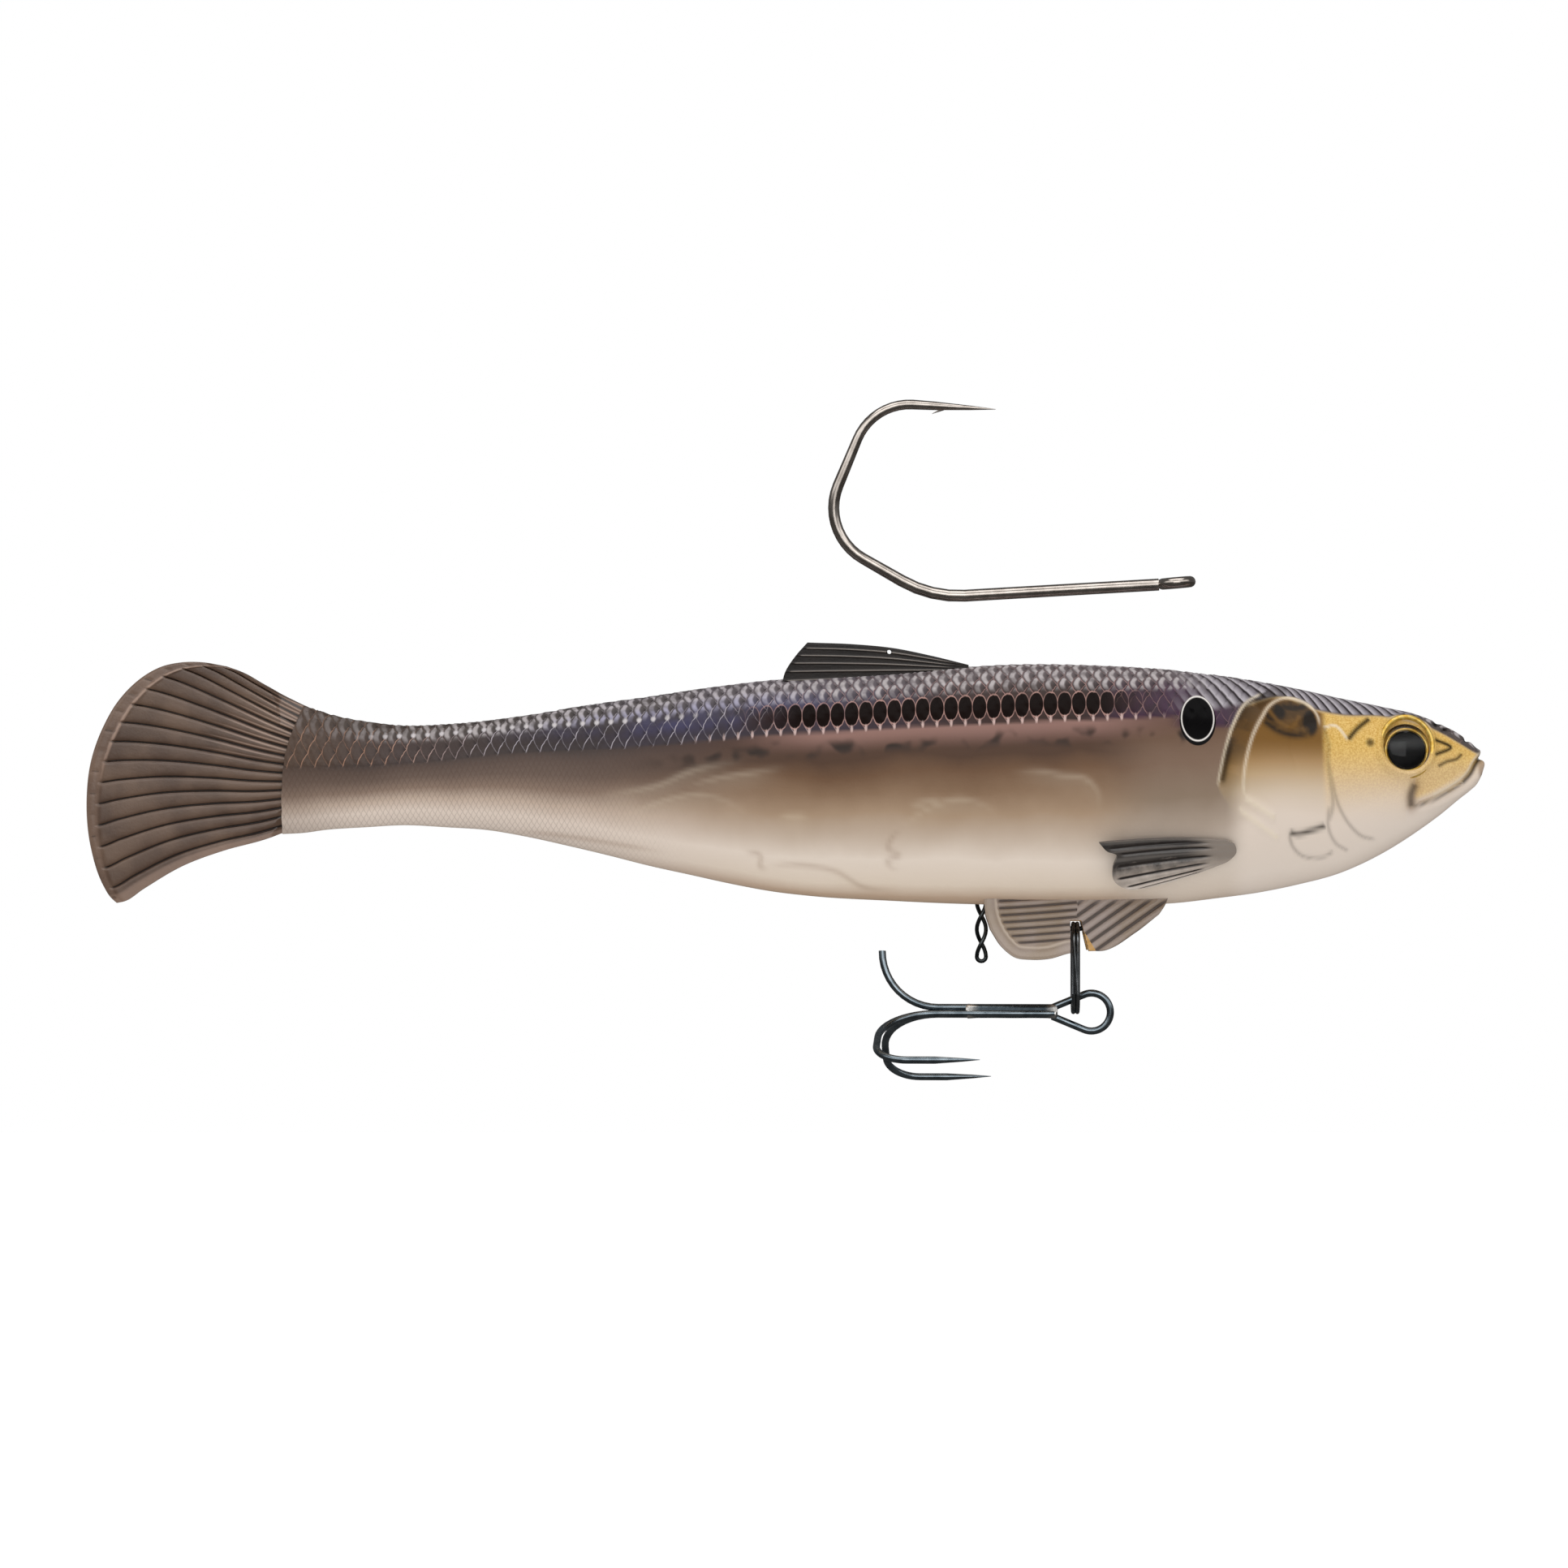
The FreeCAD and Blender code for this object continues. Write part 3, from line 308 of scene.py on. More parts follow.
def linear(colour):
    """An sRGB hex colour as linear values."""
    parts = [int(colour[n:n + 2], 16) / 255 for n in (1, 3, 5)]
    return tuple(p / 12.92 if p <= 0.04045 else ((p + 0.055) / 1.055) ** 2.4 for p in parts) + (1,)


def add(material, kind, inputs=None, **settings):
    """Adds a shader node; an input is a value, a hex colour or another node's output."""
    tree = material.node_tree
    made = tree.nodes.new("ShaderNode" + kind)
    for setting, value in settings.items():
        setattr(made, setting, value)
    for socket, value in (inputs or {}).items():
        if isinstance(value, bpy.types.NodeSocket):
            tree.links.new(value, made.inputs[socket])
        elif isinstance(value, str):
            made.inputs[socket].default_value = linear(value)
        else:
            made.inputs[socket].default_value = value
    return made


def math_of(material, operation, *values):
    return add(material, "Math", dict(enumerate(values)), operation=operation).outputs[0]


def times(material, *values):
    """All the values multiplied; a single one comes back as it is."""
    product = values[0]
    for value in values[1:]:
        product = math_of(material, "MULTIPLY", product, value)
    return product


def mix_of(material, share, first, second):
    return add(material, "Mix", {0: share, 6: first, 7: second}, data_type="RGBA").outputs[2]


def lay_over(material, colour, tone, *shares):
    """Lays a tone over a colour where all the shares are high."""
    return mix_of(material, times(material, *shares), colour, tone)


def range_of(material, value, low, high, to_low=0.0, to_high=1.0, kind="SMOOTHSTEP"):
    node = add(material, "MapRange", {"Value": value, "From Min": low, "From Max": high,
                                      "To Min": to_low, "To Max": to_high},
               interpolation_type=kind)
    return node.outputs[0]


def ramp_of(material, value, stops):
    node = add(material, "ValToRGB", {"Fac": value})
    bar = node.color_ramp.elements
    while len(bar) < len(stops):
        bar.new(0.5)
    for element, (place, _) in zip(bar, stops):
        element.position = place
    for element, (_, colour) in zip(bar, stops):
        element.color = linear(colour)
    return node.outputs[0]


def attribute_of(material, name, output="Fac"):
    """A value that was written on a mesh's points."""
    node = add(material, "Attribute", attribute_name=name, attribute_type="GEOMETRY")
    return node.outputs[output]


def noise_of(material, vector, size, detail=2.0, roughness=0.5):
    """Noise whose blotches are about size millimetres across."""
    node = add(material, "TexNoise", {"Vector": vector, "Scale": 1 / (size * MM), "Detail": detail,
                                      "Roughness": roughness})
    return node.outputs[0]


def object_place(material):
    return add(material, "TexCoord").outputs["Object"]


def finish(name, **settings):
    """A new material: its principled shader's constant sockets set directly."""
    material = bpy.data.materials.new(name)
    material.use_nodes = True
    shader = material.node_tree.nodes["Principled BSDF"]
    for socket, value in settings.items():
        key = socket.replace("_", " ")
        shader.inputs[key].default_value = linear(value) if isinstance(value, str) else value
    return material, shader


def colour_from(material, shader, socket):
    material.node_tree.links.new(socket, shader.inputs["Base Color"])


def bump_from(material, shader, height, depth):
    """Fine relief of a given depth in millimetres."""
    bump = add(material, "Bump", {"Height": height, "Distance": depth * MM, "Strength": 1.0})
    material.node_tree.links.new(bump.outputs[0], shader.inputs["Normal"])


def dress(item, *materials):
    item.data.materials.clear()
    for material in materials:
        item.data.materials.append(material)
    return item


# Power of the curve in a scale's free edge.
EDGE_BOW = 1.6


def cell_phase(material, along, up, pitch):
    """Share of a scale from its free rear edge towards the head, for a shingled row pattern.

    Two bowed edges bound a scale: the first value is the nearer one's, the second that of the edge
    that leans forwards.
    """
    across = math_of(material, "DIVIDE", up, pitch)
    row = math_of(material, "FLOOR", across)
    share = math_of(material, "SUBTRACT", across, row)
    odd = math_of(material, "FRACT", times(material, row, 0.5))
    length = math_of(material, "DIVIDE", along, pitch)
    phases = []
    for sign, curve in ((1, share), (-1, math_of(material, "SUBTRACT", 1.0, share))):
        bow = math_of(material, "MULTIPLY_ADD", math_of(material, "POWER", curve, EDGE_BOW), -0.5, 0.5)
        shift = math_of(material, "MULTIPLY_ADD", odd, -sign, 0.0 if sign > 0 else -0.5)
        whole = math_of(material, "ADD", math_of(material, "ADD", length, bow), shift)
        phases.append(math_of(material, "FRACT", whole))
    return math_of(material, "MINIMUM", *phases), phases[0]


def scale_relief(along, up, pitch):
    """The nearer edge's share as numbers: 0 at a scale's free edge, rising towards the head."""
    across = up / pitch
    row = np.floor(across)
    share = across - row
    odd = (row * 0.5) % 1.0
    length = along / pitch
    first = (length + 0.5 - 0.5 * share**EDGE_BOW - odd) % 1.0
    second = (length + 0.5 - 0.5 * (1 - share)**EDGE_BOW + odd - 0.5) % 1.0
    return np.minimum(first, second)


def bell(material, value, middle, reach):
    """1 at the middle, fading to 0 one reach away on both sides."""
    gap = math_of(material, "ABSOLUTE", math_of(material, "SUBTRACT", value, middle))
    return range_of(material, gap, 0.0, reach, 1.0, 0.0)


def window_of(material, value, start, full, fade, end):
    """Rises from start to full and falls from fade to end."""
    return times(material, range_of(material, value, start, full),
                 range_of(material, value, end, fade))


def oval_reach(material, across, up, middle, half):
    """Distance from an oval's middle, 1 on its outline."""
    high = math_of(material, "SUBTRACT", up, middle)
    squares = [math_of(material, "POWER", math_of(material, "DIVIDE", gap, size), 2.0)
               for gap, size in ((across, half[0]), (high, half[1]))]
    return math_of(material, "SQRT", math_of(material, "ADD", *squares))


# The photo's tones from the belly line up to the border of the scales: trunk, tail stock, chest
# behind the gill covers, and face.
# Each row holds painted shade, darker at the belly line, and a painted highlight in its palest band low
# on the flank, over the milky paint.
FLANK_TONES = [
    [(0.0, "#b79f8a"), (0.14, "#c4ab95"), (0.27, "#e8dacb"), (0.42, "#efe3d8"), (0.53, "#cfbeae"),
     (0.63, "#b0977f"), (0.72, "#8e735b"), (0.8, "#6f523b"), (0.87, "#4e3524"), (0.94, "#4d3427"),
     (1.0, "#4f3932")],
    [(0.0, "#cdc0b6"), (0.22, "#dccfc6"), (0.42, "#eadcd2"), (0.57, "#cdbaac"), (0.7, "#937f72"),
     (0.82, "#6f5e55"), (0.93, "#5a4a43"), (1.0, "#453a37")],
    [(0.0, "#c3b2a3"), (0.2, "#dacdc1"), (0.4, "#e4dad0"), (0.54, "#b9aa9d"), (0.66, "#92806f"),
     (0.8, "#7d6554"), (0.92, "#6c5342"), (1.0, "#6b5046")],
    [(0.0, "#d3c6bc"), (0.25, "#e6dbd2"), (0.5, "#ecdfd4"), (0.75, "#dccbb6"), (1.0, "#c9b391")],
]
# Tones from the tail's end to the nose: the scaled back, and the crown near its ridge, whose lighter
# greys are a painted highlight from above.
BACK_TONES = [
    (0.0, "#54443a"), (0.1, "#4a3e3c"), (0.22, "#3b3332"), (0.36, "#383036"), (0.5, "#382c33"),
    (0.6, "#3a2824"), (0.72, "#2c201d"), (0.78, "#3c2838"), (0.83, "#4d4048"), (0.9, "#57504f"),
]
CROWN_TONES = [(0.0, "#443932"), (0.25, "#55504f"), (0.45, "#6f686b"), (0.8, "#726a6d"), (1.0, "#5c5555")]
# One slash of the nape, dark lines with a pale lobe between them, brightest beside one line and darker
# towards the next as a painted highlight.
LOBE_TONES = [(0.0, "#1c1719"), (0.1, "#3a3437"), (0.24, "#c3bfc8"), (0.5, "#a5a1aa"), (0.82, "#77727a"),
              (1.0, "#1c1719")]
# Gold of the gill cover, by how much gold lies there.
COVER_TONES = [(0.0, "#c9b79c"), (0.35, "#bfa67c"), (0.6, "#b08c50"), (0.82, "#9c7434"), (1.0, "#7a5622")]
# The row of tall ovals: height of its middle over the border, and half its size.
OVAL_UP = 2.75
OVAL_HALF = (1.04, 2.05)


def flank_colour(skin, place, along, height):
    """Milky belly up to brown under the scales, with painted shade along the belly line and a painted
    highlight low on the flank.
    """
    blotch = noise_of(skin, place, 11.0, 3.0)
    wavy = math_of(skin, "MULTIPLY_ADD", blotch, 0.1, math_of(skin, "SUBTRACT", height, 0.05))
    trunk, stem, chest, face = (ramp_of(skin, wavy, stops) for stops in FLANK_TONES)
    flank = lay_over(skin, stem, trunk, range_of(skin, along, -134.0, -97.0))
    flank = lay_over(skin, flank, chest, range_of(skin, along, -58.0, -46.0))
    flank = lay_over(skin, flank, "#a07c74", range_of(skin, height, 0.89, 0.99, 0.0, 0.75),
                     window_of(skin, along, -110.0, -94.0, -58.0, -44.0))
    return lay_over(skin, flank, face, range_of(skin, along, -37.5, -33.5))


def scale_colour(skin, place, along, up, height, run):
    """Dark scaled back: thin pale edges, partly painted highlight, one row of tall black ovals, pale
    facets near the ridge that are painted highlights.

    Gives the colour, the phase of the scales, the painted glints below the ovals and the ovals' own
    share.
    """
    tint = noise_of(skin, place, 6.0, 2.0)
    back = lay_over(skin, ramp_of(skin, run, BACK_TONES), "#46466f",
                    range_of(skin, tint, 0.3, 0.65, 0.0, 0.6),
                    window_of(skin, along, -150.0, -118.0, -92.0, -76.0),
                    range_of(skin, up, 0.8, 3.0, 0.15, 1.0))
    back = lay_over(skin, back, "#4b2a4c", bell(skin, along, -46.0, 14.0),
                    range_of(skin, tint, 0.3, 0.65, 0.15, 0.75))
    # painted highlight: the crown near the ridge turns to lighter greys where it faces the light from
    # above
    back = lay_over(skin, back, ramp_of(skin, run, CROWN_TONES),
                    range_of(skin, height, 1.3, 1.6, 0.0, 0.8))

    phase, forward = cell_phase(skin, along, up, SCALE_PITCH)
    broken = noise_of(skin, place, 1.7, 2.0)
    # pale scale edges, partly printed outline and partly painted highlight: on the tail stock the edges
    # that lean forwards are painted shining, the others are faint
    faint = times(skin, range_of(skin, phase, 0.03, 0.1, 1.0, 0.0),
                  range_of(skin, along, -118.0, -92.0, 0.35, 1.0))
    rim = math_of(skin, "MAXIMUM", faint, range_of(skin, forward, 0.03, 0.1, 1.0, 0.0))
    edge = mix_of(skin, range_of(skin, along, -162.0, -140.0), "#c79a82", "#c9c3cf")
    edge = lay_over(skin, edge, "#b08c88", range_of(skin, along, -112.0, -88.0))
    back = lay_over(skin, back, edge, rim, range_of(skin, broken, 0.3, 0.6, 0.1, 0.8),
                    range_of(skin, along, -43.0, -54.0, 0.3, 1.0),
                    range_of(skin, height, 1.7, 1.3, 0.35, 1.0))
    # painted shade: each scale darkens towards the overhanging edge of the scale ahead
    back = lay_over(skin, back, "#1c1618", range_of(skin, phase, 0.62, 0.95, 0.0, 0.55))
    # painted highlights: pale facets near the ridge, lavender on the tail stock
    cool = times(skin, window_of(skin, along, -146.0, -126.0, -110.0, -92.0),
                 range_of(skin, height, 1.62, 1.42, 0.15, 0.75))
    back = lay_over(skin, back, mix_of(skin, cool, "#cfc9cc", "#a9a8cc"),
                    window_of(skin, phase, 0.1, 0.26, 0.42, 0.6),
                    range_of(skin, broken, 0.3, 0.6, 0.3, 1.0),
                    window_of(skin, height, 1.3, 1.44, 1.85, 2.0),
                    range_of(skin, along, -170.0, -138.0, 0.2, 0.75))

    # one painted highlight, a round white glint, on every scale of the third row on the tail stock
    step = math_of(skin, "FRACT", math_of(skin, "DIVIDE", along, SCALE_PITCH))
    across = times(skin, math_of(skin, "SUBTRACT", step, 0.5), SCALE_PITCH)
    dot = range_of(skin, oval_reach(skin, across, up, 4.3, (0.5, 0.62)), 1.0, 0.35)
    back = lay_over(skin, back, "#dedadf", dot, window_of(skin, along, -166.0, -156.0, -122.0, -108.0),
                    0.85)

    # dark slashes leaning forwards over the nape, with pale lobes between them that are painted
    # highlights
    lean = math_of(skin, "MULTIPLY_ADD", up, 0.53, along)
    wave = math_of(skin, "FRACT", math_of(skin, "DIVIDE", lean, 1.56))
    back = lay_over(skin, back, ramp_of(skin, wave, LOBE_TONES),
                    window_of(skin, along, -46.0, -38.0, -12.0, -8.0),
                    window_of(skin, height, 1.0, 1.12, 1.8, 1.98), 0.92)

    # the row of tall ovals above the border
    reach = oval_reach(skin, across, up, OVAL_UP, OVAL_HALF)
    here = window_of(skin, along, -110.0, -98.0, -56.0, -46.0)
    back = lay_over(skin, back, "#4c2f2c", bell(skin, up, OVAL_UP, 2.2), here, 0.65)
    oval = times(skin, range_of(skin, reach, 1.0, 0.9), here)
    back = lay_over(skin, back, "#160d0b", oval)
    back = lay_over(skin, back, "#bd948b", bell(skin, reach, 1.0, 0.08),
                    range_of(skin, broken, 0.25, 0.6, 0.25, 0.9), here)
    # painted highlight: a pale pink glint below each oval
    glint = times(skin, range_of(skin, oval_reach(skin, across, up, 0.3, (0.3, 0.75)), 1.0, 0.2),
                  window_of(skin, along, -118.0, -104.0, -52.0, -44.0), 0.7)
    return back, phase, glint, oval


# Values that paint_skin writes on the skin's points for this material.
SKIN_GUIDES = ("scaled", "gold", "ink_and_shade", "highlight_and_flow", "marble", "painted_shade_and_seams")


def soft_skin_material():
    """Poured PVC plastisol with pearl and a clear top coat: milky below, dark scaled back."""
    skin, shader = finish("plastisol_skin", Roughness=0.4, IOR=1.4, Coat_Weight=0.06,
                          Coat_Roughness=0.15)
    place = object_place(skin)
    along, up, height = add(skin, "SeparateXYZ", {0: attribute_of(skin, "lay", "Vector")}).outputs
    scaled, gold, ink_and_shade, highlight_and_flow, marble, painted_shade_and_seams = (attribute_of(skin, name) for name in SKIN_GUIDES)
    run = range_of(skin, along, -174.0, 0.0, kind="LINEAR")
    back, phase, glint, dark = scale_colour(skin, place, along, up, height, run)
    colour = lay_over(skin, flank_colour(skin, place, along, height), back, scaled)
    # the painted glints below the ovals
    colour = lay_over(skin, colour, "#ecd0cb", glint)

    # a net of tiny embossed scales on the tail stock, browner towards the fin
    small, _ = cell_phase(skin, along, up, 0.8)
    stock = range_of(skin, along, -112.0, -138.0)
    colour = lay_over(skin, colour, "#57443a", range_of(skin, small, 0.2, 0.0, 0.0, 0.3), stock,
                      range_of(skin, scaled, 0.5, 0.0))
    colour = lay_over(skin, colour, "#604e44", range_of(skin, along, -160.0, -175.0, 0.0, 0.35))

    # soft dark freckles in a row under the border
    stray = math_of(skin, "MULTIPLY_ADD", noise_of(skin, place, 9.0, 1.0), 3.0, up)
    colour = lay_over(skin, colour, "#2a1c14",
                      range_of(skin, noise_of(skin, place, 3.4, 1.0), 0.5, 0.66),
                      bell(skin, stray, -0.9, 1.9),
                      window_of(skin, along, -126.0, -108.0, -44.0, -38.0))

    # gold paint on the head, darker on the gill cover's top, with black marbling
    dust = range_of(skin, noise_of(skin, place, 0.25, 2.0), 0.3, 0.7)
    paint = lay_over(skin, mix_of(skin, dust, "#d3a651", "#eac878"), ramp_of(skin, gold, COVER_TONES),
                     range_of(skin, along, -22.4, -23.6))
    colour = lay_over(skin, colour, paint, gold)
    veins = noise_of(skin, place, 2.6, 3.0, 0.45)
    colour = lay_over(skin, colour, "#1e150c", marble, range_of(skin, veins, 0.34, 0.52, 0.6, 1.0))
    # pale strokes: painted highlights along the head's raised edges, ridges and upper lip, and the milky
    # flow marks of the pour
    colour = lay_over(skin, colour, "#f0e4cf", highlight_and_flow, 0.85)
    # brown painted shade round the maxilla and at the lower jaw's tip, and the brown seams of the pour
    colour = lay_over(skin, colour, "#8a6748", painted_shade_and_seams, 0.55)
    # dark strokes: printed lines of the head, with painted shadow beside the outer arc and painted shade
    # in the mouth's gap and along the maxilla
    colour = lay_over(skin, colour, "#17110d", ink_and_shade)

    # black shoulder spot with a fine white ring inside its rim
    spot = add(skin, "SeparateXYZ", {0: place})
    spot_x = math_of(skin, "SUBTRACT", spot.outputs[0], SPOT_AT[0] * MM)

    def spot_reach(level, half):
        return oval_reach(skin, spot_x, spot.outputs[2], level * MM, [size * MM for size in half])

    black = range_of(skin, spot_reach(SPOT_AT[1], SPOT_HALF), 1.02, 0.98)
    colour = lay_over(skin, colour, "#060506", black)
    colour = lay_over(skin, colour, "#f1eeec",
                      bell(skin, spot_reach(SPOT_AT[1] + 0.3, SPOT_RING), 1.0, 0.07))
    colour_from(skin, shader, colour)
    # the dark prints are nearly matt
    matt = math_of(skin, "MAXIMUM", math_of(skin, "MAXIMUM", black, ink_and_shade), times(skin, dark, scaled))
    shine = math_of(skin, "MULTIPLY_ADD", matt, -0.26, 0.3)
    skin.node_tree.links.new(shine, shader.inputs["Specular IOR Level"])

    # fine pebbling everywhere, the tiny scales, and a crisp rim on the large ones
    pebbles = times(skin, noise_of(skin, place, 0.45, 2.0), 0.35)
    relief = math_of(skin, "MULTIPLY_ADD", times(skin, small, stock), -1.4, pebbles)
    crisp = times(skin, range_of(skin, phase, 0.0, 0.12, 0.0, 1.0), scaled)
    bump_from(skin, shader, math_of(skin, "ADD", relief, crisp), 0.05)
    return skin


def drifting(material, size, base, other):
    """A colour that drifts between two near tones in blotches of a size, and the noise it follows."""
    drift = noise_of(material, object_place(material), size, 3.0)
    return mix_of(material, range_of(material, drift, 0.3, 0.7), base, other), drift


def lump_material(name, base, other, size, **settings):
    """Moulded plastic whose colour drifts between two near tones."""
    material, shader = finish(name, **settings)
    colour_from(material, shader, drifting(material, size, base, other)[0])
    return material


def fin_material(name, base, other, groove, rib, **settings):
    """Thin plastisol fin: the grooves between its rays hold darker colour, and the ribs are painted
    lighter, a painted highlight where they catch light.
    """
    material, shader = finish(name, **settings)
    depth, edge = attribute_of(material, "rib"), attribute_of(material, "rim")
    colour, _ = drifting(material, 6.0, base, other)
    colour = lay_over(material, colour, rib, range_of(material, edge, 0.0, 1.0, 0.0, 0.2))
    colour = lay_over(material, colour, groove, range_of(material, depth, 0.45, 0.0, 0.0, 1.0))
    # painted highlight: ribs and beads painted lighter, as are the lines beside the tail's grooves
    colour = lay_over(material, colour, rib, range_of(material, depth, 0.68, 1.0, 0.0, 0.8))
    colour = lay_over(material, colour, "#c99c58", range_of(material, edge, 1.3, 1.7))
    colour_from(material, shader, colour)
    bump_from(material, shader, noise_of(material, object_place(material), 0.4, 2.0), 0.03)
    return material


def metal_material(name, base, dull, roughness):
    """Drawn and plated wire: a slightly cloudy plating and fine marks in its surface."""
    material, shader = finish(name, Metallic=1.0)
    colour_from(material, shader, drifting(material, 1.8, base, dull)[0])
    fine = noise_of(material, object_place(material), 0.5, 2.0)
    rough = range_of(material, fine, 0.2, 0.8, roughness * 0.85, roughness * 1.2)
    material.node_tree.links.new(rough, shader.inputs["Roughness"])
    bump_from(material, shader, fine, 0.002)
    return material


SKIN = soft_skin_material()
RAW = lump_material("raw_plastisol_inside", "#b9aaa0", "#c7bab1", 4.0, Roughness=0.5)


# ---- the skin of the fish ----

def cage_places():
    """Rings along the fish: even steps on the trunk, closer ones on the head and round the lips."""
    step = SCALE_PITCH * 1.6
    trunk = np.arange(FISH_END, -42.0, step)
    head = np.linspace(trunk[-1] + 2.4, -4.2, 20)
    return list(trunk) + list(head) + [-2.9, -1.8, -0.9, -0.2, 0.3, 0.6]


def section_at(x):
    """Middle, half height and half width of the fish at a place."""
    back = follow(OUTLINE, 1, x)
    belly = follow(OUTLINE, 2, x)
    return (back + belly) / 2, (back - belly) / 2, follow(GIRTH, 1, x)


def crowd_upwards(turn):
    """Moves the section's points towards the back, where the scales need them."""
    return turn - 0.42 * np.sin(turn)


def lay_on_sections(points, turn=None):
    """Puts points on the fish's own sections, at a given turn round them or at the one they have."""
    middle, tall, wide = section_at(points[:, 0])
    if turn is None:
        turn = np.arctan2(points[:, 1] / wide, (points[:, 2] - middle) / tall)
    laid = points.copy()
    laid[:, 1] = wide * np.sin(turn)
    laid[:, 2] = middle + tall * np.cos(turn)
    return laid


def rod_along(name, places, sides):
    """A rod of 1 mm radius drawn out along +X from place to place, closed at both ends."""
    clear_selection()
    bpy.ops.mesh.primitive_circle_add(vertices=sides, radius=MM, fill_type="NGON",
                                      location=(places[0] * MM, 0, 0),
                                      rotation=(0, math.pi / 2, 0))
    rod = settle(named(name))
    edit()
    bpy.ops.mesh.select_all(action="SELECT")
    for near, far in zip(places, places[1:]):
        bpy.ops.mesh.extrude_region_move(
            TRANSFORM_OT_translate={"value": ((far - near) * MM, 0, 0)})
    leave_edit()
    return rod


def fish_blank():
    """A rod drawn out station by station from the tail to the lips, then rounded to a fine skin."""
    blank = rod_along("skin", cage_places(), 24)
    points = points_of(blank)
    turn = crowd_upwards(np.arctan2(points[:, 1], points[:, 2]))
    move_points(blank, lay_on_sections(points, turn))
    modify(blank, "SUBSURF", levels=3, render_levels=3, boundary_smooth="PRESERVE_CORNERS")
    points = points_of(blank)
    laid = lay_on_sections(points)
    ends = (points[:, 0] > 0.45) | (points[:, 0] < -174.0)
    laid[ends] = points[ends]
    move_points(blank, laid)
    return face_outwards(blank)


def arc_from_border(x, turn):
    """Distance round the section from the lower border of the scales, plus towards the back."""
    middle, tall, wide = section_at(x)
    border = follow(SCALE_BORDER, 1, x)
    border_turn = np.arccos(np.clip((border - middle) / tall, -1, 1))
    steps = 24
    total = np.zeros(len(x))
    span = border_turn - np.abs(turn)
    for number in range(steps):
        angle = np.abs(turn) + span * (number + 0.5) / steps
        total += np.hypot(wide * np.cos(angle), tall * np.sin(angle)) * span / steps
    return total, border_turn


def skin_lay(points):
    """For every point: place along, arc up from the border, and height 0 belly, 1 border, 2 ridge."""
    x = points[:, 0]
    middle, tall, wide = section_at(x)
    turn = np.arctan2(points[:, 1] / wide, (points[:, 2] - middle) / tall)
    up, border_turn = arc_from_border(x, turn)
    above = 2 - np.abs(turn) / np.maximum(border_turn, 0.05)
    below = (math.pi - np.abs(turn)) / np.maximum(math.pi - border_turn, 0.05)
    height = np.where(np.abs(turn) < border_turn, above, below)
    return x, up, height


def ring_gap(x, z, centre, half):
    """Distance from an oval's middle, 1 on its outline."""
    return np.hypot((x - centre[0]) / half[0], (z - centre[1]) / half[1])


def head_masks(x, z):
    """For every line of the head: the distance to it, the side and the share along it."""
    return {name: near_line(x, z, corners) for name, corners in HEAD_LINES.items()}


def inside_plates(x, z):
    """1 on the gill covers and the face, 0 on the scaled trunk."""
    return ease(-0.2, 0.3, x - follow(PLATES_REAR, 1, z))


def shape_skin(item):
    """Raises and sinks the scales, the gill covers and the marks of the head in the skin."""
    points = points_of(item)
    x, up, _ = skin_lay(points)
    z = points[:, 2]
    lines = head_masks(x, z)
    plates = inside_plates(x, z)
    phase = scale_relief(x, up, SCALE_PITCH)
    shingle = ease(0.0, 0.2, phase) * (1 - phase * 0.75)
    fade = between(x, -176.0, -172.0, -16.0, -9.0)
    lift = 0.22 * ease(-0.3, 0.5, up) * fade * (shingle - 0.6) * np.where(x > -38, 1 - plates * 0.8, 1)

    for name, height, width, reach, sign in HEAD_STEPS:
        gap, side, along = lines[name]
        signed = gap * side * sign
        step = height * ease(-width, width, signed) * np.exp(-np.maximum(signed, 0) / reach)
        lift += step * (gap < reach * 4) * between(along, 0.0, 0.12, 0.88, 1.0)
    for name, depth, width in HEAD_GROOVES:
        gap, _, along = lines[name]
        lift -= depth * hump(gap, width) * between(along, -0.01, 0.08, 0.92, 1.01)
    gap, _, along = lines["mouth"]
    lift -= 0.75 * hump(gap, 0.42) * ease(1.01, 0.85, along)
    lift += 0.25 * hump(gap - 0.9, 0.5) * ease(1.01, 0.8, along)
    lift -= 0.5 * hump(lines["maxilla"][0], 0.55)
    for centre, half, _ in PORES:
        lift -= 0.45 * hump(ring_gap(x, z, centre, half), 1.0)
    eye = np.hypot(x - EYE_AT.x, z - EYE_AT.z - 0.3)
    lift += 0.75 * hump(eye - 4.0, 0.55)
    lift += 0.12 * ease(1.08, 0.95, ring_gap(x, z, SPOT_AT, SPOT_HALF)) * (z > 0)
    for line in FLOW_LINES:
        gap, _, along = near_line(x, z, line)
        lift += 0.04 * hump(gap, 0.6) * between(along, 0.0, 0.3, 0.7, 1.0)
    # nothing rises on the very ridge and keel
    lift = np.where(np.abs(points[:, 1]) < 0.05, np.minimum(lift, 0.1), lift)
    moved = points + normals_of(item) * lift[:, None]
    # the root line of the tail leans forward towards the back
    lean = ease(-166.0, FISH_END, x)
    middle, tall, wide = section_at(moved[:, 0])
    moved[:, 0] += lean * follow([(-11.0, 0.0), (-4.0, 0.0), (1.0, 0.5), (9.5, 3.2)], 1, z)
    new_middle, new_tall, new_wide = section_at(moved[:, 0])
    moved[:, 1] *= new_wide / wide
    moved[:, 2] = new_middle + (moved[:, 2] - middle) * new_tall / tall
    move_points(item, moved)
    return item


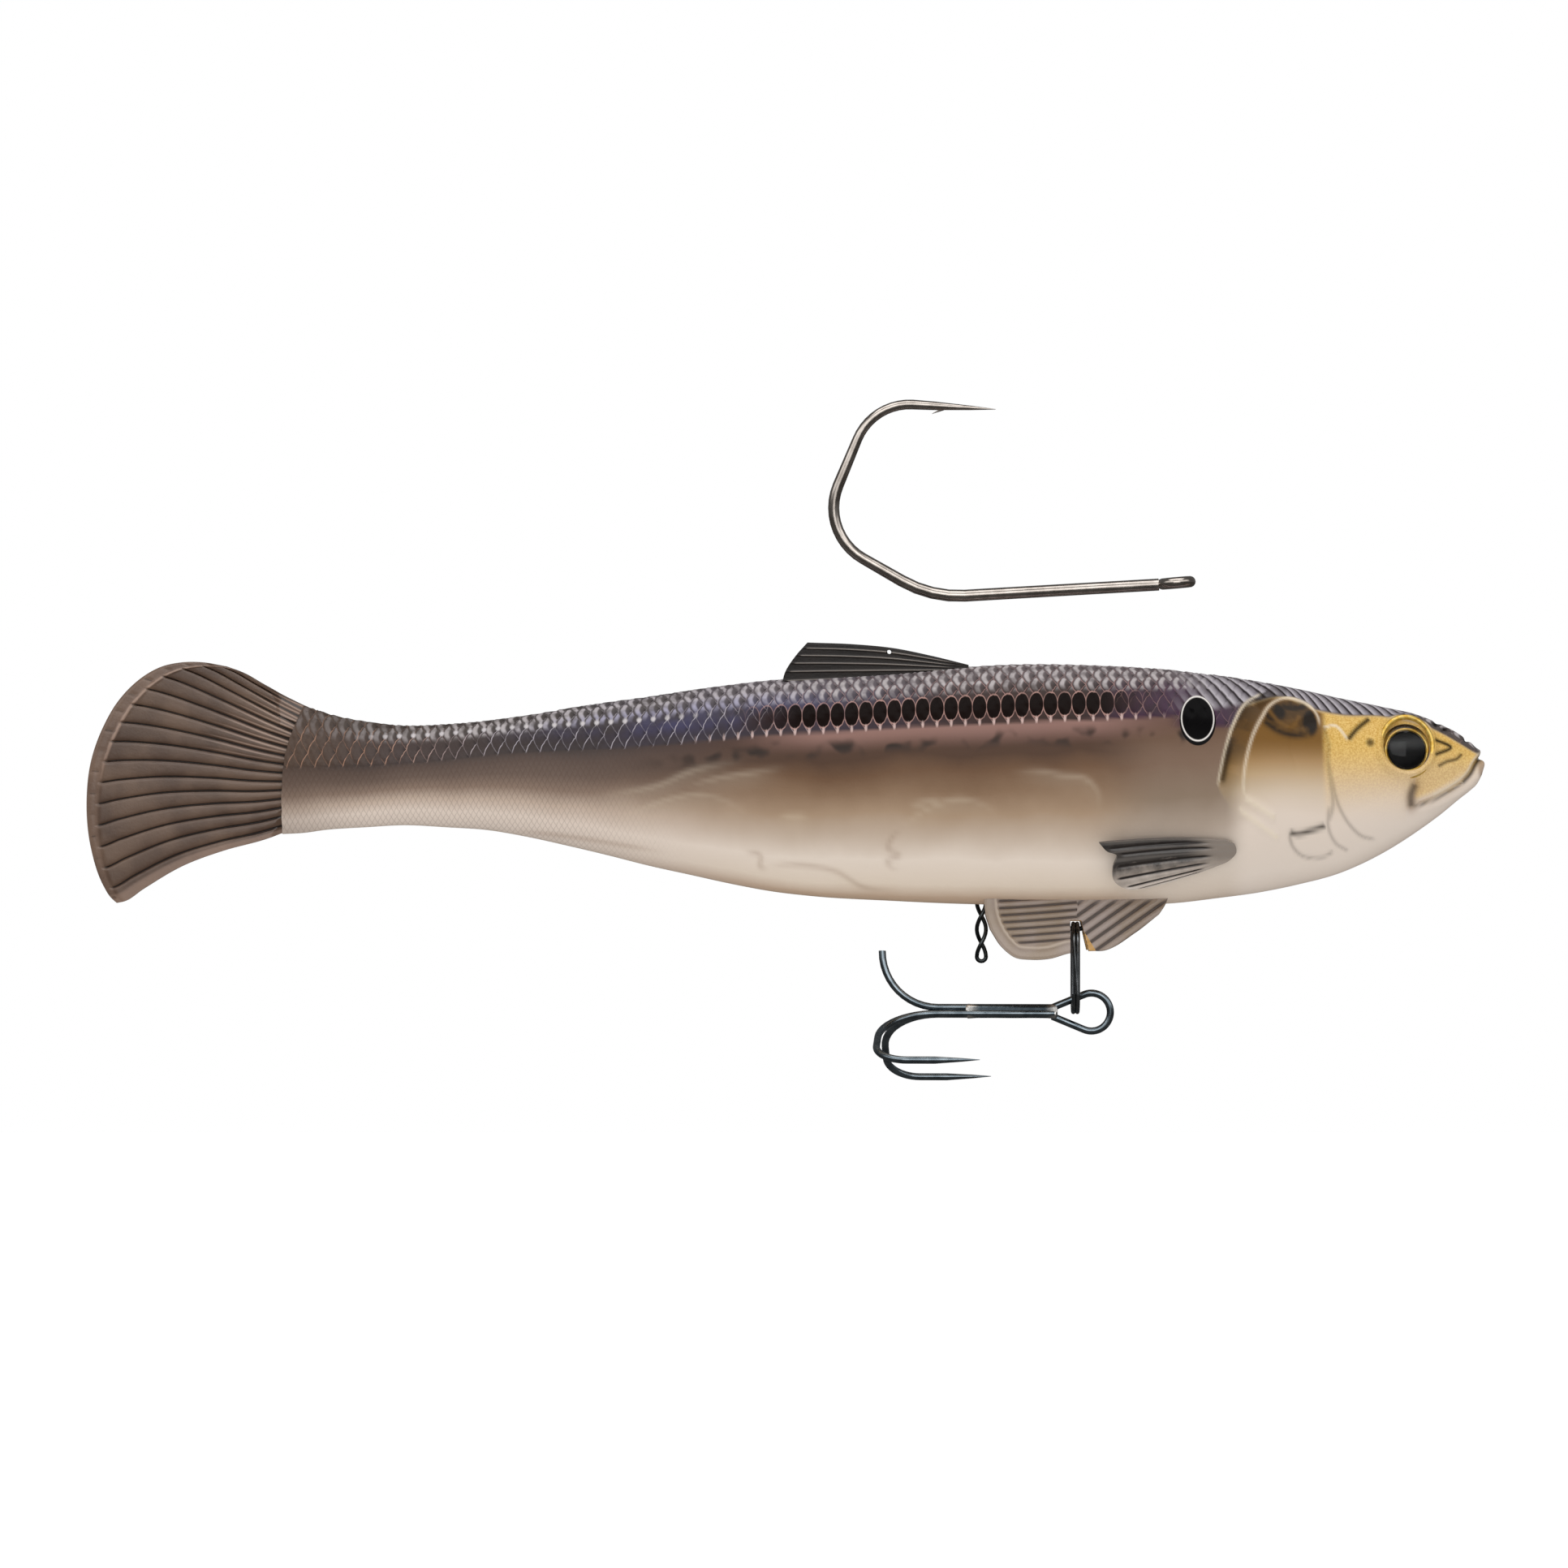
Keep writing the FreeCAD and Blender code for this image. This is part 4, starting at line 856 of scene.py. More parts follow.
def box_cutter(low, high):
    """A block between two corners, to cut with."""
    clear_selection()
    centre = [(near + far) / 2 * MM for near, far in zip(low, high)]
    bpy.ops.mesh.primitive_cube_add(size=1, location=centre)
    bpy.context.object.scale = [(far - near) * MM for near, far in zip(low, high)]
    return settle(named("cutter"))


def round_cutter(start, end, radius, sides=32):
    start, end = Vector(start) * MM, Vector(end) * MM
    clear_selection()
    bpy.ops.mesh.primitive_cylinder_add(
        vertices=sides, radius=radius * MM, depth=(end - start).length, location=(start + end) / 2,
        rotation=(end - start).to_track_quat("Z", "Y").to_euler())
    return settle(named("cutter"))


def cut_away(item, cutter, material):
    dress(cutter, material)
    modify(item, "BOOLEAN", object=cutter, operation="DIFFERENCE", solver="EXACT",
           material_mode="TRANSFER")
    bpy.data.objects.remove(cutter)


def eye_outward(side):
    """The way an eye looks: outwards, turned a little forwards and up."""
    yaw = Matrix.Rotation(-side * EYE_TURN, 3, "Z")
    pitch = Matrix.Rotation(side * EYE_TURN, 3, "X")
    return yaw @ pitch @ Vector((0, side, 0))


def eye_centre(side):
    return Vector((EYE_AT.x, side * EYE_AT.y, EYE_AT.z))


def write_values(item, name, values):
    layer = item.data.attributes.new(name, "FLOAT", "POINT")
    layer.data.foreach_set("value", np.ascontiguousarray(values, dtype=np.float32))


def paint_skin(item):
    """Lays the guides for the paint on the finished skin."""
    points = points_of(item)
    x, up, height = skin_lay(points)
    z = points[:, 2]
    lines = head_masks(x, z)
    plates = inside_plates(x, z)
    below_crown = ease(0.3, -0.3, z - follow(SCALE_BORDER, 1, x))
    scaled = ease(-0.25, 0.25, up) * (1 - plates * below_crown)
    scaled = np.maximum(scaled, ease(-46.0, -42.5, x) * (1 - plates) * ease(4.4, 5.4, z))
    layer = item.data.attributes.new("lay", "FLOAT_VECTOR", "POINT")
    layer.data.foreach_set("vector", np.column_stack([x, up, height]).astype(np.float32).ravel())

    gold = plates * ease(-9.5, 3.5, z) * below_crown
    mouth_gap, mouth_side, _ = lines["mouth"]
    snout = ease(-10.6, -9.4, x) * (mouth_side < 0) * ease(0.2, 1.6, mouth_gap)
    gold = np.maximum(gold, 0.72 * snout * below_crown)
    gold *= np.where((x > -11) & (mouth_side > 0), 0.1, 1.0)

    def stroke(name, width, strength):
        gap, _, along = lines[name]
        return strength * hump(gap, width) * between(along, -0.01, 0.05, 0.95, 1.01)

    arc_gap, arc_side, arc_along = lines["outer_arc"]
    behind_arc = arc_gap * arc_side
    # dark strokes: printed lines, painted shadow beside the outer arc, painted shade in the mouth's gap
    # and along the maxilla
    ink_and_shade = np.maximum.reduce(
        [stroke(*row) for row in INK_STROKES]
        + [np.exp(-ring_gap(x, z, centre, half) ** 4) for centre, _, half in PORES]
        + [0.75 * hump(behind_arc - 0.55, 0.45) * between(arc_along, 0.5, 0.7, 0.93, 1.0),
           0.9 * hump(mouth_gap, 0.3) * (x > -2.5),
           0.6 * hump(mouth_gap, 0.25) * ease(0.2, -2.0, x) * ease(-11.0, -9.0, x),
           0.8 * np.exp(-ring_gap(x, z, (-16.3, 2.7), (0.6, 0.6)) ** 4)])
    # pale strokes: painted highlights on the raised edges, ridges and upper lip
    highlight_and_flow = np.maximum.reduce(
        [stroke(*row) for row in HIGHLIGHT_STROKES]
        + [0.8 * hump(mouth_gap - 0.6, 0.25) * (x > -7) * (mouth_side < 0)])
    for line in FLOW_LINES:
        gap, side, along = near_line(x, z, line)
        veil = 0.13 * hump(gap, 2.0) * ease(0.5, -0.5, gap * side)
        flow = between(along, 0.0, 0.4, 0.6, 1.0) * np.maximum(0.24 * hump(gap, 0.5), veil)
        highlight_and_flow = np.maximum(highlight_and_flow, flow)
    # brown painted shade round the maxilla and at the lower jaw's tip; the seams below are brown lines of
    # the pour
    painted_shade_and_seams = np.maximum(0.85 * hump(lines["maxilla"][0], 0.9),
                      0.9 * ease(1.3, 0.6, ring_gap(x, z, (0.6, -0.9), (0.9, 1.7))))
    for line in SEAM_LINES:
        gap, _, along = near_line(x, z, line)
        painted_shade_and_seams = np.maximum(painted_shade_and_seams, 0.5 * between(along, 0.0, 0.3, 0.7, 1.0) * hump(gap, 0.4))
    # the gill cover's top: dark round its hollow, black at its front end, gold showing inside
    top = np.maximum.reduce(
        [strength * ease(start, full, ring_gap(x, z, centre, half))
         for strength, start, full, centre, half in COVER_PATCHES]
        + [0.95 * hump(near_line(x, z, COVER_HOLLOW)[0], 0.5)])
    top *= 1 - 0.7 * hump(near_line(x, z, COVER_VEIN)[0], 0.3)
    cover_gap, cover_side, _ = lines["cover_arc"]
    shade = ease(-0.05, 0.1, behind_arc) * np.exp(-np.maximum(behind_arc, 0) / 5.0)
    shade = 0.85 * shade * ease(-5.0, 3.0, z) * (x < -28)
    marble = np.where(cover_side < 0, top, shade * (cover_side > 0)) * ease(0.1, 0.5, cover_gap)
    for name, values in zip(SKIN_GUIDES, (scaled, gold, np.clip(ink_and_shade, 0, 1), highlight_and_flow, marble, painted_shade_and_seams)):
        write_values(item, name, values)


def make_skin():
    skin = shape_skin(fish_blank())
    dress(skin, SKIN, RAW)
    # the soft lips of the slot close over the hook eye's pocket
    for corners in (SLOT_BOX, POCKET_BOX):
        cut_away(skin, box_cutter(*corners), RAW)
    for side in (-1, 1):
        seat = eye_centre(side)
        cut_away(skin, round_cutter(seat, seat + eye_outward(side) * 8, EYE_RADIUS), RAW)
    way = Vector((math.cos(BORE_SLOPE), 0, math.sin(BORE_SLOPE)))
    cut_away(skin, round_cutter(-way * 6, way * 6, BORE_RADIUS, 20), RAW)
    paint_skin(skin)
    smooth(skin, 55)
    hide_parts("soft_body", "tail_stock")
    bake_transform(skin)


make_skin()


# ---- fins ----

def edge_at(corners, share):
    """Points on a smooth line through a few corners, at shares of its length."""
    line = smooth_line(corners, 80)
    steps = np.linspace(0, 1, len(line))
    return np.column_stack([np.interp(share, steps, line[:, 0]), np.interp(share, steps, line[:, 1])])


def sheet_between(upper, lower, root, rim, across, along):
    """Points of a sheet between four edges: across from upper to lower, along from root to rim."""
    across, along = across[:, None], along[:, None]
    corners = [np.array(p, float) for p in (root[0], root[-1], rim[0], rim[-1])]
    blend = (1 - across) * edge_at(upper, along[:, 0]) + across * edge_at(lower, along[:, 0])
    blend += (1 - along) * edge_at(root, across[:, 0]) + along * edge_at(rim, across[:, 0])
    blend -= (1 - across) * (1 - along) * corners[0] + across * (1 - along) * corners[1]
    blend -= (1 - across) * along * corners[2] + across * along * corners[3]
    return blend


def fin_blade(name, edges, columns, rows, shape):
    """A closed blade: one ribbed sheet, its mirrored twin, and a rim bridged between them.

    shape takes the places x, z and the shares across and along, and gives half the thickness there,
    the rib value (0 groove, 1 rib) and the rim value.
    """
    clear_selection()
    bpy.ops.mesh.primitive_grid_add(x_subdivisions=columns, y_subdivisions=rows, size=2 * MM)
    blade = named(name)
    flat = points_of(blade)
    across, along = (flat[:, 0] + 1) / 2, (flat[:, 1] + 1) / 2
    if "spread" in edges:
        across = edges["spread"](across)
    places = sheet_between(edges["upper"], edges["lower"], edges["root"], edges["rim"], across, along)
    half, rib, rim = shape(places[:, 0], places[:, 1], across, along)
    move_points(blade, np.column_stack([places[:, 0], -half, places[:, 1]]))
    write_values(blade, "rib", rib)
    write_values(blade, "rim", rim)
    edit(blade)
    bpy.ops.mesh.select_all(action="SELECT")
    bpy.ops.mesh.duplicate()
    bpy.ops.transform.resize(value=(1, -1, 1), center_override=(0, 0, 0))
    bpy.ops.mesh.flip_normals()
    bpy.ops.mesh.select_mode(type="EDGE")
    bpy.ops.mesh.select_all(action="DESELECT")
    bpy.ops.mesh.select_non_manifold(extend=False, use_wire=False, use_boundary=True,
                                     use_multi_face=False, use_non_contiguous=False,
                                     use_verts=False)
    bpy.ops.mesh.bridge_edge_loops()
    bpy.ops.mesh.select_mode(type="VERT")
    leave_edit()
    return face_outwards(blade)


def moved(item, matrix):
    """Moves a finished piece, its place kept in its mesh; the matrix is in millimetres."""
    points = points_of(item)
    turn = np.array(matrix.to_3x3())
    move_points(item, points @ turn.T + np.array(matrix.translation))
    return item


def other_side(item, name):
    """The same piece for the left flank, with its own mesh."""
    take(item)
    bpy.ops.object.duplicate()
    twin = named(name)
    points = points_of(twin)
    points[:, 1] *= -1
    move_points(twin, points)
    edit(twin)
    bpy.ops.mesh.select_all(action="SELECT")
    bpy.ops.mesh.flip_normals()
    leave_edit()
    return twin


def near_rays(across, first, pitch, count):
    """Share of a pitch to the nearest ray."""
    number = np.clip(np.round((across - first) / pitch), 0, count - 1)
    return np.abs(across - first - number * pitch) / pitch


TAIL_EDGES = {
    "upper": [(-169.6, 7.6), (-173.5, 9.5), (-176.6, 11.2), (-179.6, 12.9), (-182.0, 13.8)],
    "rim": [(-182.0, 13.8), (-185.5, 14.4), (-188.4, 14.4), (-191.4, 13.8), (-194.2, 12.3),
            (-196.1, 10.7), (-198.0, 8.5), (-199.9, 5.2), (-201.8, -0.1), (-202.4, -5.5),
            (-201.8, -12.5), (-199.9, -18.2), (-198.9, -19.8), (-198.0, -20.6)],
    "lower": [(-172.0, -9.7), (-176.6, -11.4), (-182.5, -13.0), (-188.4, -15.2), (-194.2, -18.6),
              (-197.0, -20.4), (-198.0, -20.6)],
    "root": [(-169.6, 7.6), (-171.6, 3.0), (-172.4, -2.0), (-172.0, -9.7)],
}
# The tail's rays: their count, and the shares across the fin of the first one and from ray to ray.
TAIL_RAYS = 15
TAIL_FIRST = 0.035
TAIL_PITCH = 0.065
# Half thickness that no blade goes below.
THINNEST = 0.12


def crowd_to_rays(across):
    """Draws the grid's columns towards the rays, where the grooves need them."""
    number = (across - TAIL_FIRST) / TAIL_PITCH
    nearest = np.clip(np.round(number), 0, TAIL_RAYS - 1)
    offset = number - nearest
    drawn = np.sign(offset) * 0.5 * (2 * np.abs(offset)) ** 1.7
    inside = np.abs(offset) <= 0.5
    return np.where(inside, TAIL_FIRST + (nearest + drawn) * TAIL_PITCH, across)


def tail_shape(x, z, across, along):
    """Grooves between the rays, a smooth band behind them, and ticks in the band."""
    half = 1.45 - 0.95 * np.clip((-173.0 - x) / 29.0, 0, 1)
    width = 1.25 + 1.75 * along
    gap = near_rays(across, TAIL_FIRST, TAIL_PITCH, TAIL_RAYS) * width
    band = follow([(0.0, 0.91), (0.5, 0.93), (0.75, 0.95), (1.0, 0.97)], 1, across)
    web = ease(band + 0.012, band - 0.012, along)
    cut = hump(gap, 0.24 - 0.09 * along) * web
    pillow = 0.04 * (1 - hump(gap, 0.6)) * web
    line = hump(along - band, 0.012) * ease(0.75, 0.45, across)
    tick_gap = near_rays(across, TAIL_FIRST - TAIL_PITCH / 2, TAIL_PITCH, TAIL_RAYS + 2) * width
    tick = hump(tick_gap, 0.2) * between(along, band, band + 0.02, 0.98, 1.0)
    edge_round = 0.25 * ease(0.985, 1.0, along)
    half = half - 0.32 * cut + pillow - 0.16 * (1 - web) + 0.12 * line - 0.08 * tick - edge_round
    # the root thins out where it enters the seat in the tail stock
    middle, tall, wide = section_at(np.maximum(x, FISH_END))
    seat = wide * np.sqrt(np.clip(1 - ((z - middle) / tall) ** 2, 0.0, 1)) - 0.2
    half = np.minimum(half, seat + 3 * ease(-174.0, -176.5, x))
    # painted highlight beside each groove on the fin's upper half, carried in the rib value
    beside = hump(gap - 0.42, 0.2) * web * ease(-3.0, 3.0, z)
    rib = 0.6 - 0.6 * cut + 0.4 * line - 0.42 * tick + 0.42 * beside * ease(0.75, 0.15, along)
    rib += 0.25 * ease(0.955, 0.975, across)
    return np.maximum(half, THINNEST), rib, 1 - web


DORSAL_EDGES = {
    "upper": [(-97.6, 17.25), (-91.0, 17.0), (-85.2, 16.45), (-79.5, 15.3), (-74.2, 14.0)],
    "lower": [(-101.4, 10.6), (-88.0, 11.4), (-74.2, 12.9)],
    "root": [(-97.6, 17.25), (-99.4, 15.2), (-100.9, 12.8), (-101.4, 10.6)],
    "rim": [(-74.2, 14.0), (-74.2, 12.9)],
}
# The round hole through each leaf of the dorsal fin.
DORSAL_HOLE = ((-85.7, -2, 15.9), (-85.7, 2, 15.9))


def dorsal_shape(x, z, across, along):
    """Five low rays that draw together and fade towards the front."""
    gap = near_rays(across, 0.14, 0.18, 5) * 1.15 * (1 - 0.7 * along)
    rib = hump(gap, 0.1) * between(along, 0.0, 0.04, 0.8, 1.0)
    half = 0.27 + 0.13 * rib - 0.1 * ease(0.05, 0.0, across)
    return half, 0.55 + 0.45 * rib, np.zeros(len(x))


PELVIC_EDGES = {
    "upper": [(-72.0, -19.3), (-71.8, -22.0), (-71.0, -24.6)],
    "rim": [(-71.0, -24.6), (-69.3, -27.2), (-67.6, -28.6), (-65.2, -28.95), (-62.5, -28.8),
            (-59.7, -28.0), (-57.2, -27.65), (-54.8, -27.6), (-50.0, -24.9), (-46.6, -22.2)],
    "lower": [(-45.1, -19.3), (-45.7, -20.8), (-46.6, -22.2)],
    "root": [(-72.0, -19.3), (-58.0, -19.3), (-45.1, -19.3)],
}
# The notch in the pelvic fin's lower edge: its two low corners and its two high ones.
PELVIC_NOTCH = [(-59.5, -30.0), (-56.35, -30.0), (-59.5, -23.2), (-57.95, -23.2)]


def pelvic_shape(x, z, across, along):
    """Level grooves on the rear lobe, slanting ones in front, a bead inside the rear rim."""
    border = near_line(x, z, PELVIC_EDGES["upper"] + PELVIC_EDGES["rim"][1:6])[0]
    rear = ease(-56.5, -60.5, x)
    level = (z + 21.6 - 0.07 * (x + 72) - 0.02 * (x + 66) ** 2 / 10) / 1.06
    slant = (z + 26.0 - 0.72 * (x + 56.0)) / 1.75
    wave = np.where(rear > 0.5, level, slant)
    gap = np.abs(wave - np.round(wave)) * 1.06
    strength = np.where(rear > 0.5, ease(1.7, 2.1, border) * (z > -28.2), ease(-19.0, -21.0, z))
    cut = hump(gap, 0.27) * strength
    bead = hump(border - 1.7, 0.35) * rear
    half = 0.34 - 0.17 * cut + 0.1 * bead - 0.12 * ease(0.4, 0.0, border)
    rib = 0.6 - 0.6 * cut + 0.35 * bead
    # a tan wedge beside the notch, marked by the rim value 2
    slit = -57.95 - 0.236 * (z + 23.2)
    wedge = ease(0.1, -0.1, x - slit - 0.36 * (-24.6 - z)) * ease(-24.4, -25.0, z) * (x > -58.5)
    return np.maximum(half, THINNEST), rib, ease(1.3, 0.6, border) * rear + 2 * wedge


PECTORAL_EDGES = {
    "upper": [(-0.6, 1.4), (-6.0, 1.65), (-13.2, 1.5), (-19.2, 1.05)],
    "lower": [(-2.4, -2.8), (-7.5, -4.6), (-12.0, -5.95)],
    "root": [(-0.6, 1.4), (0.6, 0.7), (0.85, -0.4), (0.0, -1.6), (-2.4, -2.8)],
    "rim": [(-19.2, 1.05), (-17.9, -0.3), (-16.6, -0.8), (-17.0, -2.8), (-16.8, -4.7),
            (-14.8, -6.1), (-12.0, -5.95)],
}
PECTORAL_AT = (-36.6, -9.6, -12.7)


def pectoral_shape(x, z, across, along):
    """Six grooves with a swell between them; the rim value runs from the upper to the lower edge."""
    gap = near_rays(across, 0.1, 0.16, 6) * (0.6 + 0.6 * along)
    reach = between(along, 0.12, 0.3, 0.93, 1.0)
    cut = hump(gap, 0.18) * reach
    swell = 0.16 * np.cos(np.clip((across - 0.1) / 0.16, -0.5, 5.5) * 2 * math.pi + math.pi)
    half = 0.42 - 0.14 * along - 0.16 * cut + swell * reach * 0.5 - 0.2 * ease(0.2, 0.0, along)
    return np.maximum(half, THINNEST), 0.6 - 0.6 * cut + 0.3 * swell, np.clip(across, 0, 1)


TAIL_SKIN = fin_material("plastisol_tail_fin", "#523e32", "#6b5546", "#170e0a", "#a98f80",
                         Roughness=0.36, Coat_Weight=0.3, Coat_Roughness=0.15)
DARK_SKIN = fin_material("plastisol_dorsal_fin", "#140f0d", "#1f1815", "#0c0807", "#968f8a",
                         Roughness=0.38, Specular_IOR_Level=0.35)
BELLY_SKIN = fin_material("plastisol_pelvic_fin", "#a3958f", "#94826f", "#3f3027", "#c2b3a4",
                          Roughness=0.4, Coat_Weight=0.2, Coat_Roughness=0.2)
CUT_SKIN = lump_material("plastisol_cut_face", "#c49a55", "#b58a4a", 1.5, Roughness=0.5)


def side_fin_material():
    """Pectoral fin: black over pearl, the dark colour wiped off the lower rays."""
    material, shader = finish("plastisol_pectoral_fin", Roughness=0.36, Coat_Weight=0.3,
                              Coat_Roughness=0.2)
    place = object_place(material)
    depth, lower = attribute_of(material, "rib"), attribute_of(material, "rim")
    drift = noise_of(material, place, 1.6, 3.0)
    mixed = math_of(material, "MULTIPLY_ADD", drift, 0.35, math_of(material, "SUBTRACT", lower, 0.17))
    tone = ramp_of(material, mixed, [(0.0, "#2d2a2a"), (0.22, "#4b4643"), (0.42, "#3c3836"),
                                     (0.6, "#a89d95"), (0.8, "#cfc5bd"), (1.0, "#d8cfc8")])
    root = add(material, "SeparateXYZ", {0: place}).outputs[0]
    tone = lay_over(material, tone, "#a0958c",
                    range_of(material, root, -44.0 * MM, -38.5 * MM, 0.0, 0.75))
    tone = lay_over(material, tone, "#2a2422", range_of(material, depth, 0.45, 0.0))
    # painted highlight on the swells between the grooves
    tone = lay_over(material, tone, "#8f8a86", range_of(material, depth, 0.6, 0.66, 0.0, 0.3))
    colour_from(material, shader, tone)
    bump_from(material, shader, noise_of(material, place, 0.4, 2.0), 0.03)
    return material


SIDE_SKIN = side_fin_material()


def wedge_cutter(corners, reach):
    """A block whose four side corners are put at the given x, z."""
    cutter = box_cutter((0, -reach, 0), (1, reach, 1))
    points = points_of(cutter)
    for point in points:
        x, z = corners[int(round(point[0])) + 2 * int(round(point[2]))]
        point[0], point[2] = x, z
    move_points(cutter, points)
    return cutter


def ride_both(piece, name, material, body, node, turn):
    """Places a right-hand piece, makes its left-hand twin, and hands both to their bodies."""
    moved(piece, turn)
    for item, side in ((piece, "right"), (other_side(piece, f"{name}_left"), "left")):
        if material:
            dress(item, material)
        smooth(item)
        if node:
            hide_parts(f"{node}_{side}")
        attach(item, body.format(side=side))


def make_fins():
    tail = fin_blade("tail_fin_blade", TAIL_EDGES | {"spread": crowd_to_rays}, 225, 110, tail_shape)
    dress(tail, TAIL_SKIN)
    smooth(tail, 60)
    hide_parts("tail_fin")
    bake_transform(tail)

    dorsal = fin_blade("dorsal_leaf_right", DORSAL_EDGES, 90, 60, dorsal_shape)
    dress(dorsal, DARK_SKIN)
    cut_away(dorsal, round_cutter(*DORSAL_HOLE, 0.32, 16), DARK_SKIN)
    ride_both(dorsal, "dorsal_leaf", None, "bait", "dorsal_fin",
              Matrix.Translation((0, -1.75, 0)))

    pelvic = fin_blade("pelvic_blade_right", PELVIC_EDGES, 180, 80, pelvic_shape)
    dress(pelvic, BELLY_SKIN, CUT_SKIN)
    cut_away(pelvic, wedge_cutter(PELVIC_NOTCH, 2), CUT_SKIN)
    hang = Matrix.Translation((0, -3.0, -19.2)) @ Matrix.Rotation(math.radians(-12), 4, "X") \
        @ Matrix.Translation((0, 0, 19.2))
    ride_both(pelvic, "pelvic_blade", None, "bait", "pelvic_fin", hang)

    pectoral = fin_blade("pectoral_blade_right", PECTORAL_EDGES, 90, 70, pectoral_shape)
    turn = Matrix.Translation(PECTORAL_AT) @ Matrix.Rotation(math.radians(6), 4, "Z") \
        @ Matrix.Rotation(math.radians(21), 4, "X")
    ride_both(pectoral, "pectoral_blade", SIDE_SKIN, "pectoral_{side}", "pectoral_fin",
              turn)


make_fins()


# ---- eyes ----

GOLD_FOIL = lump_material("gold_foil", "#d9a93c", "#f0d27a", 0.7, Metallic=0.6, Roughness=0.28)
PUPIL = lump_material("black_enamel_pupil", "#040405", "#08080a", 2.0, Roughness=0.3,
                      Specular_IOR_Level=0.1)


def foil_material():
    """Printed gold foil behind the lens: painted shade in bronze above the pupil where the socket's upper
    wall is shaded, bright gold below.
    """
    material, shader = finish("shaded_gold_foil", Metallic=0.5, Roughness=0.3)
    place = object_place(material)
    level = add(material, "SeparateXYZ", {0: place}).outputs[2]
    gold = mix_of(material, noise_of(material, place, 0.5, 2.0), "#c99a35", "#ecc763")
    # painted shade: the upper part darkens to bronze
    shade = range_of(material, level, 2.2 * MM, 5.0 * MM)
    colour_from(material, shader, lay_over(material, gold, "#3a2810", shade))
    return material


CLEAR = finish("clear_acrylic", Transmission_Weight=1.0, Roughness=0.02, IOR=1.34,
               Base_Color="#ffffff")[0]


def eye_turn():
    """Stands a piece made around +Z on the right eye's seat."""
    yaw = Matrix.Rotation(EYE_TURN, 4, "Z")
    pitch = Matrix.Rotation(-EYE_TURN, 4, "X")
    return Matrix.Translation(eye_centre(-1)) @ yaw @ pitch @ Matrix.Rotation(math.pi / 2, 4, "X")


def turned_disc(name, profile, sides=48):
    """A round piece from rings of radius and height, closed at both ends."""
    clear_selection()
    radius, height = profile[0]
    bpy.ops.mesh.primitive_circle_add(vertices=sides, radius=radius * MM, fill_type="NGON",
                                      location=(0, 0, height * MM))
    disc = settle(named(name))
    edit()
    bpy.ops.mesh.select_all(action="SELECT")
    for (near, low), (far, high) in zip(profile, profile[1:]):
        bpy.ops.mesh.extrude_region_move(TRANSFORM_OT_translate={"value": (0, 0, (high - low) * MM)})
        bpy.ops.transform.resize(value=(far / near, far / near, 1), center_override=(0, 0, 0))
    leave_edit()
    return face_outwards(disc)


def torus(name, radii, segments, at, rotation=(0, 0, 0)):
    """A round ring from its large and small radius and the segments round each."""
    clear_selection()
    bpy.ops.mesh.primitive_torus_add(major_radius=radii[0] * MM, minor_radius=radii[1] * MM,
                                     major_segments=segments[0], minor_segments=segments[1],
                                     location=[value * MM for value in at], rotation=rotation)
    return settle(named(name))


def dome_rings(radius, height, degrees):
    """Rings of a flattened dome whose foot is 0.3 mm up."""
    return [(radius * math.cos(a), 0.3 + height * math.sin(a)) for a in np.radians(degrees)]


def make_eyes():
    cup = turned_disc("eye_cup_right", [(3.45, 0.0), (3.45, 0.28), (3.3, 0.3), (2.6, 0.2), (0.8, 0.2)])
    ride_both(cup, "eye_cup", foil_material(), "bait", "eye_foil", eye_turn())
    iris = torus("iris_ring_right", (2.98, 0.26), (56, 12), (0, -0.42, 0.42))
    ride_both(iris, "iris_ring", GOLD_FOIL, "bait", None, eye_turn())
    bulge = dome_rings(2.78, 0.55, [0, 15, 30, 48, 66, 84])
    pupil = turned_disc("pupil_right", [(2.78, 0.1)] + bulge)
    moved(pupil, Matrix.Translation((0, -0.5, 0)))
    ride_both(pupil, "pupil", PUPIL, "bait", None, eye_turn())
    dome = dome_rings(3.47, 1.28, [0, 10, 20, 32, 45, 60, 75, 88])
    lens = turned_disc("eye_dome_right", dome, 64)
    ride_both(lens, "eye_dome", CLEAR, "bait", "eye_lens", eye_turn())
    rim = torus("eye_rim_right", (3.85, 0.36), (72, 14), (0, 0.1, 0.75))
    points = points_of(rim)
    points[:, 1] *= 1.12
    move_points(rim, points)
    ride_both(rim, "eye_rim", GOLD_FOIL, "bait", None, eye_turn())


make_eyes()


# ---- wires and hooks ----

NICKEL = metal_material("bright_nickel_plate", "#c9c0b8", "#a9a098", 0.17)
BLUED = metal_material("blued_treble_steel", "#8b969d", "#68737a", 0.2)
SPRING = metal_material("stainless_spring_wire", "#84878a", "#5f6365", 0.24)
DARK_WIRE = metal_material("oxide_wire", "#4d5152", "#34383a", 0.3)


# Places of the solder's beads, where the brazed shank hangs.
SOLDER_BEADS = (-74.2, -61.5)


def solder_material():
    """Silver solder, bright in the beads at both ends and darkened with the shank between them."""
    material, shader = finish("silver_solder", Metallic=1.0)
    far = add(material, "SeparateXYZ", {0: object_place(material)}).outputs[0]
    ends = math_of(material, "ADD", *(bell(material, far, bead * MM, 1.7 * MM) for bead in SOLDER_BEADS))
    tone, cloud = drifting(material, 0.9, "#68747c", "#485259")
    colour_from(material, shader, lay_over(material, tone, "#e2e0dc", ends))
    rough = range_of(material, cloud, 0.2, 0.8, 0.2, 0.34)
    material.node_tree.links.new(rough, shader.inputs["Roughness"])
    return material


SOLDER = solder_material()


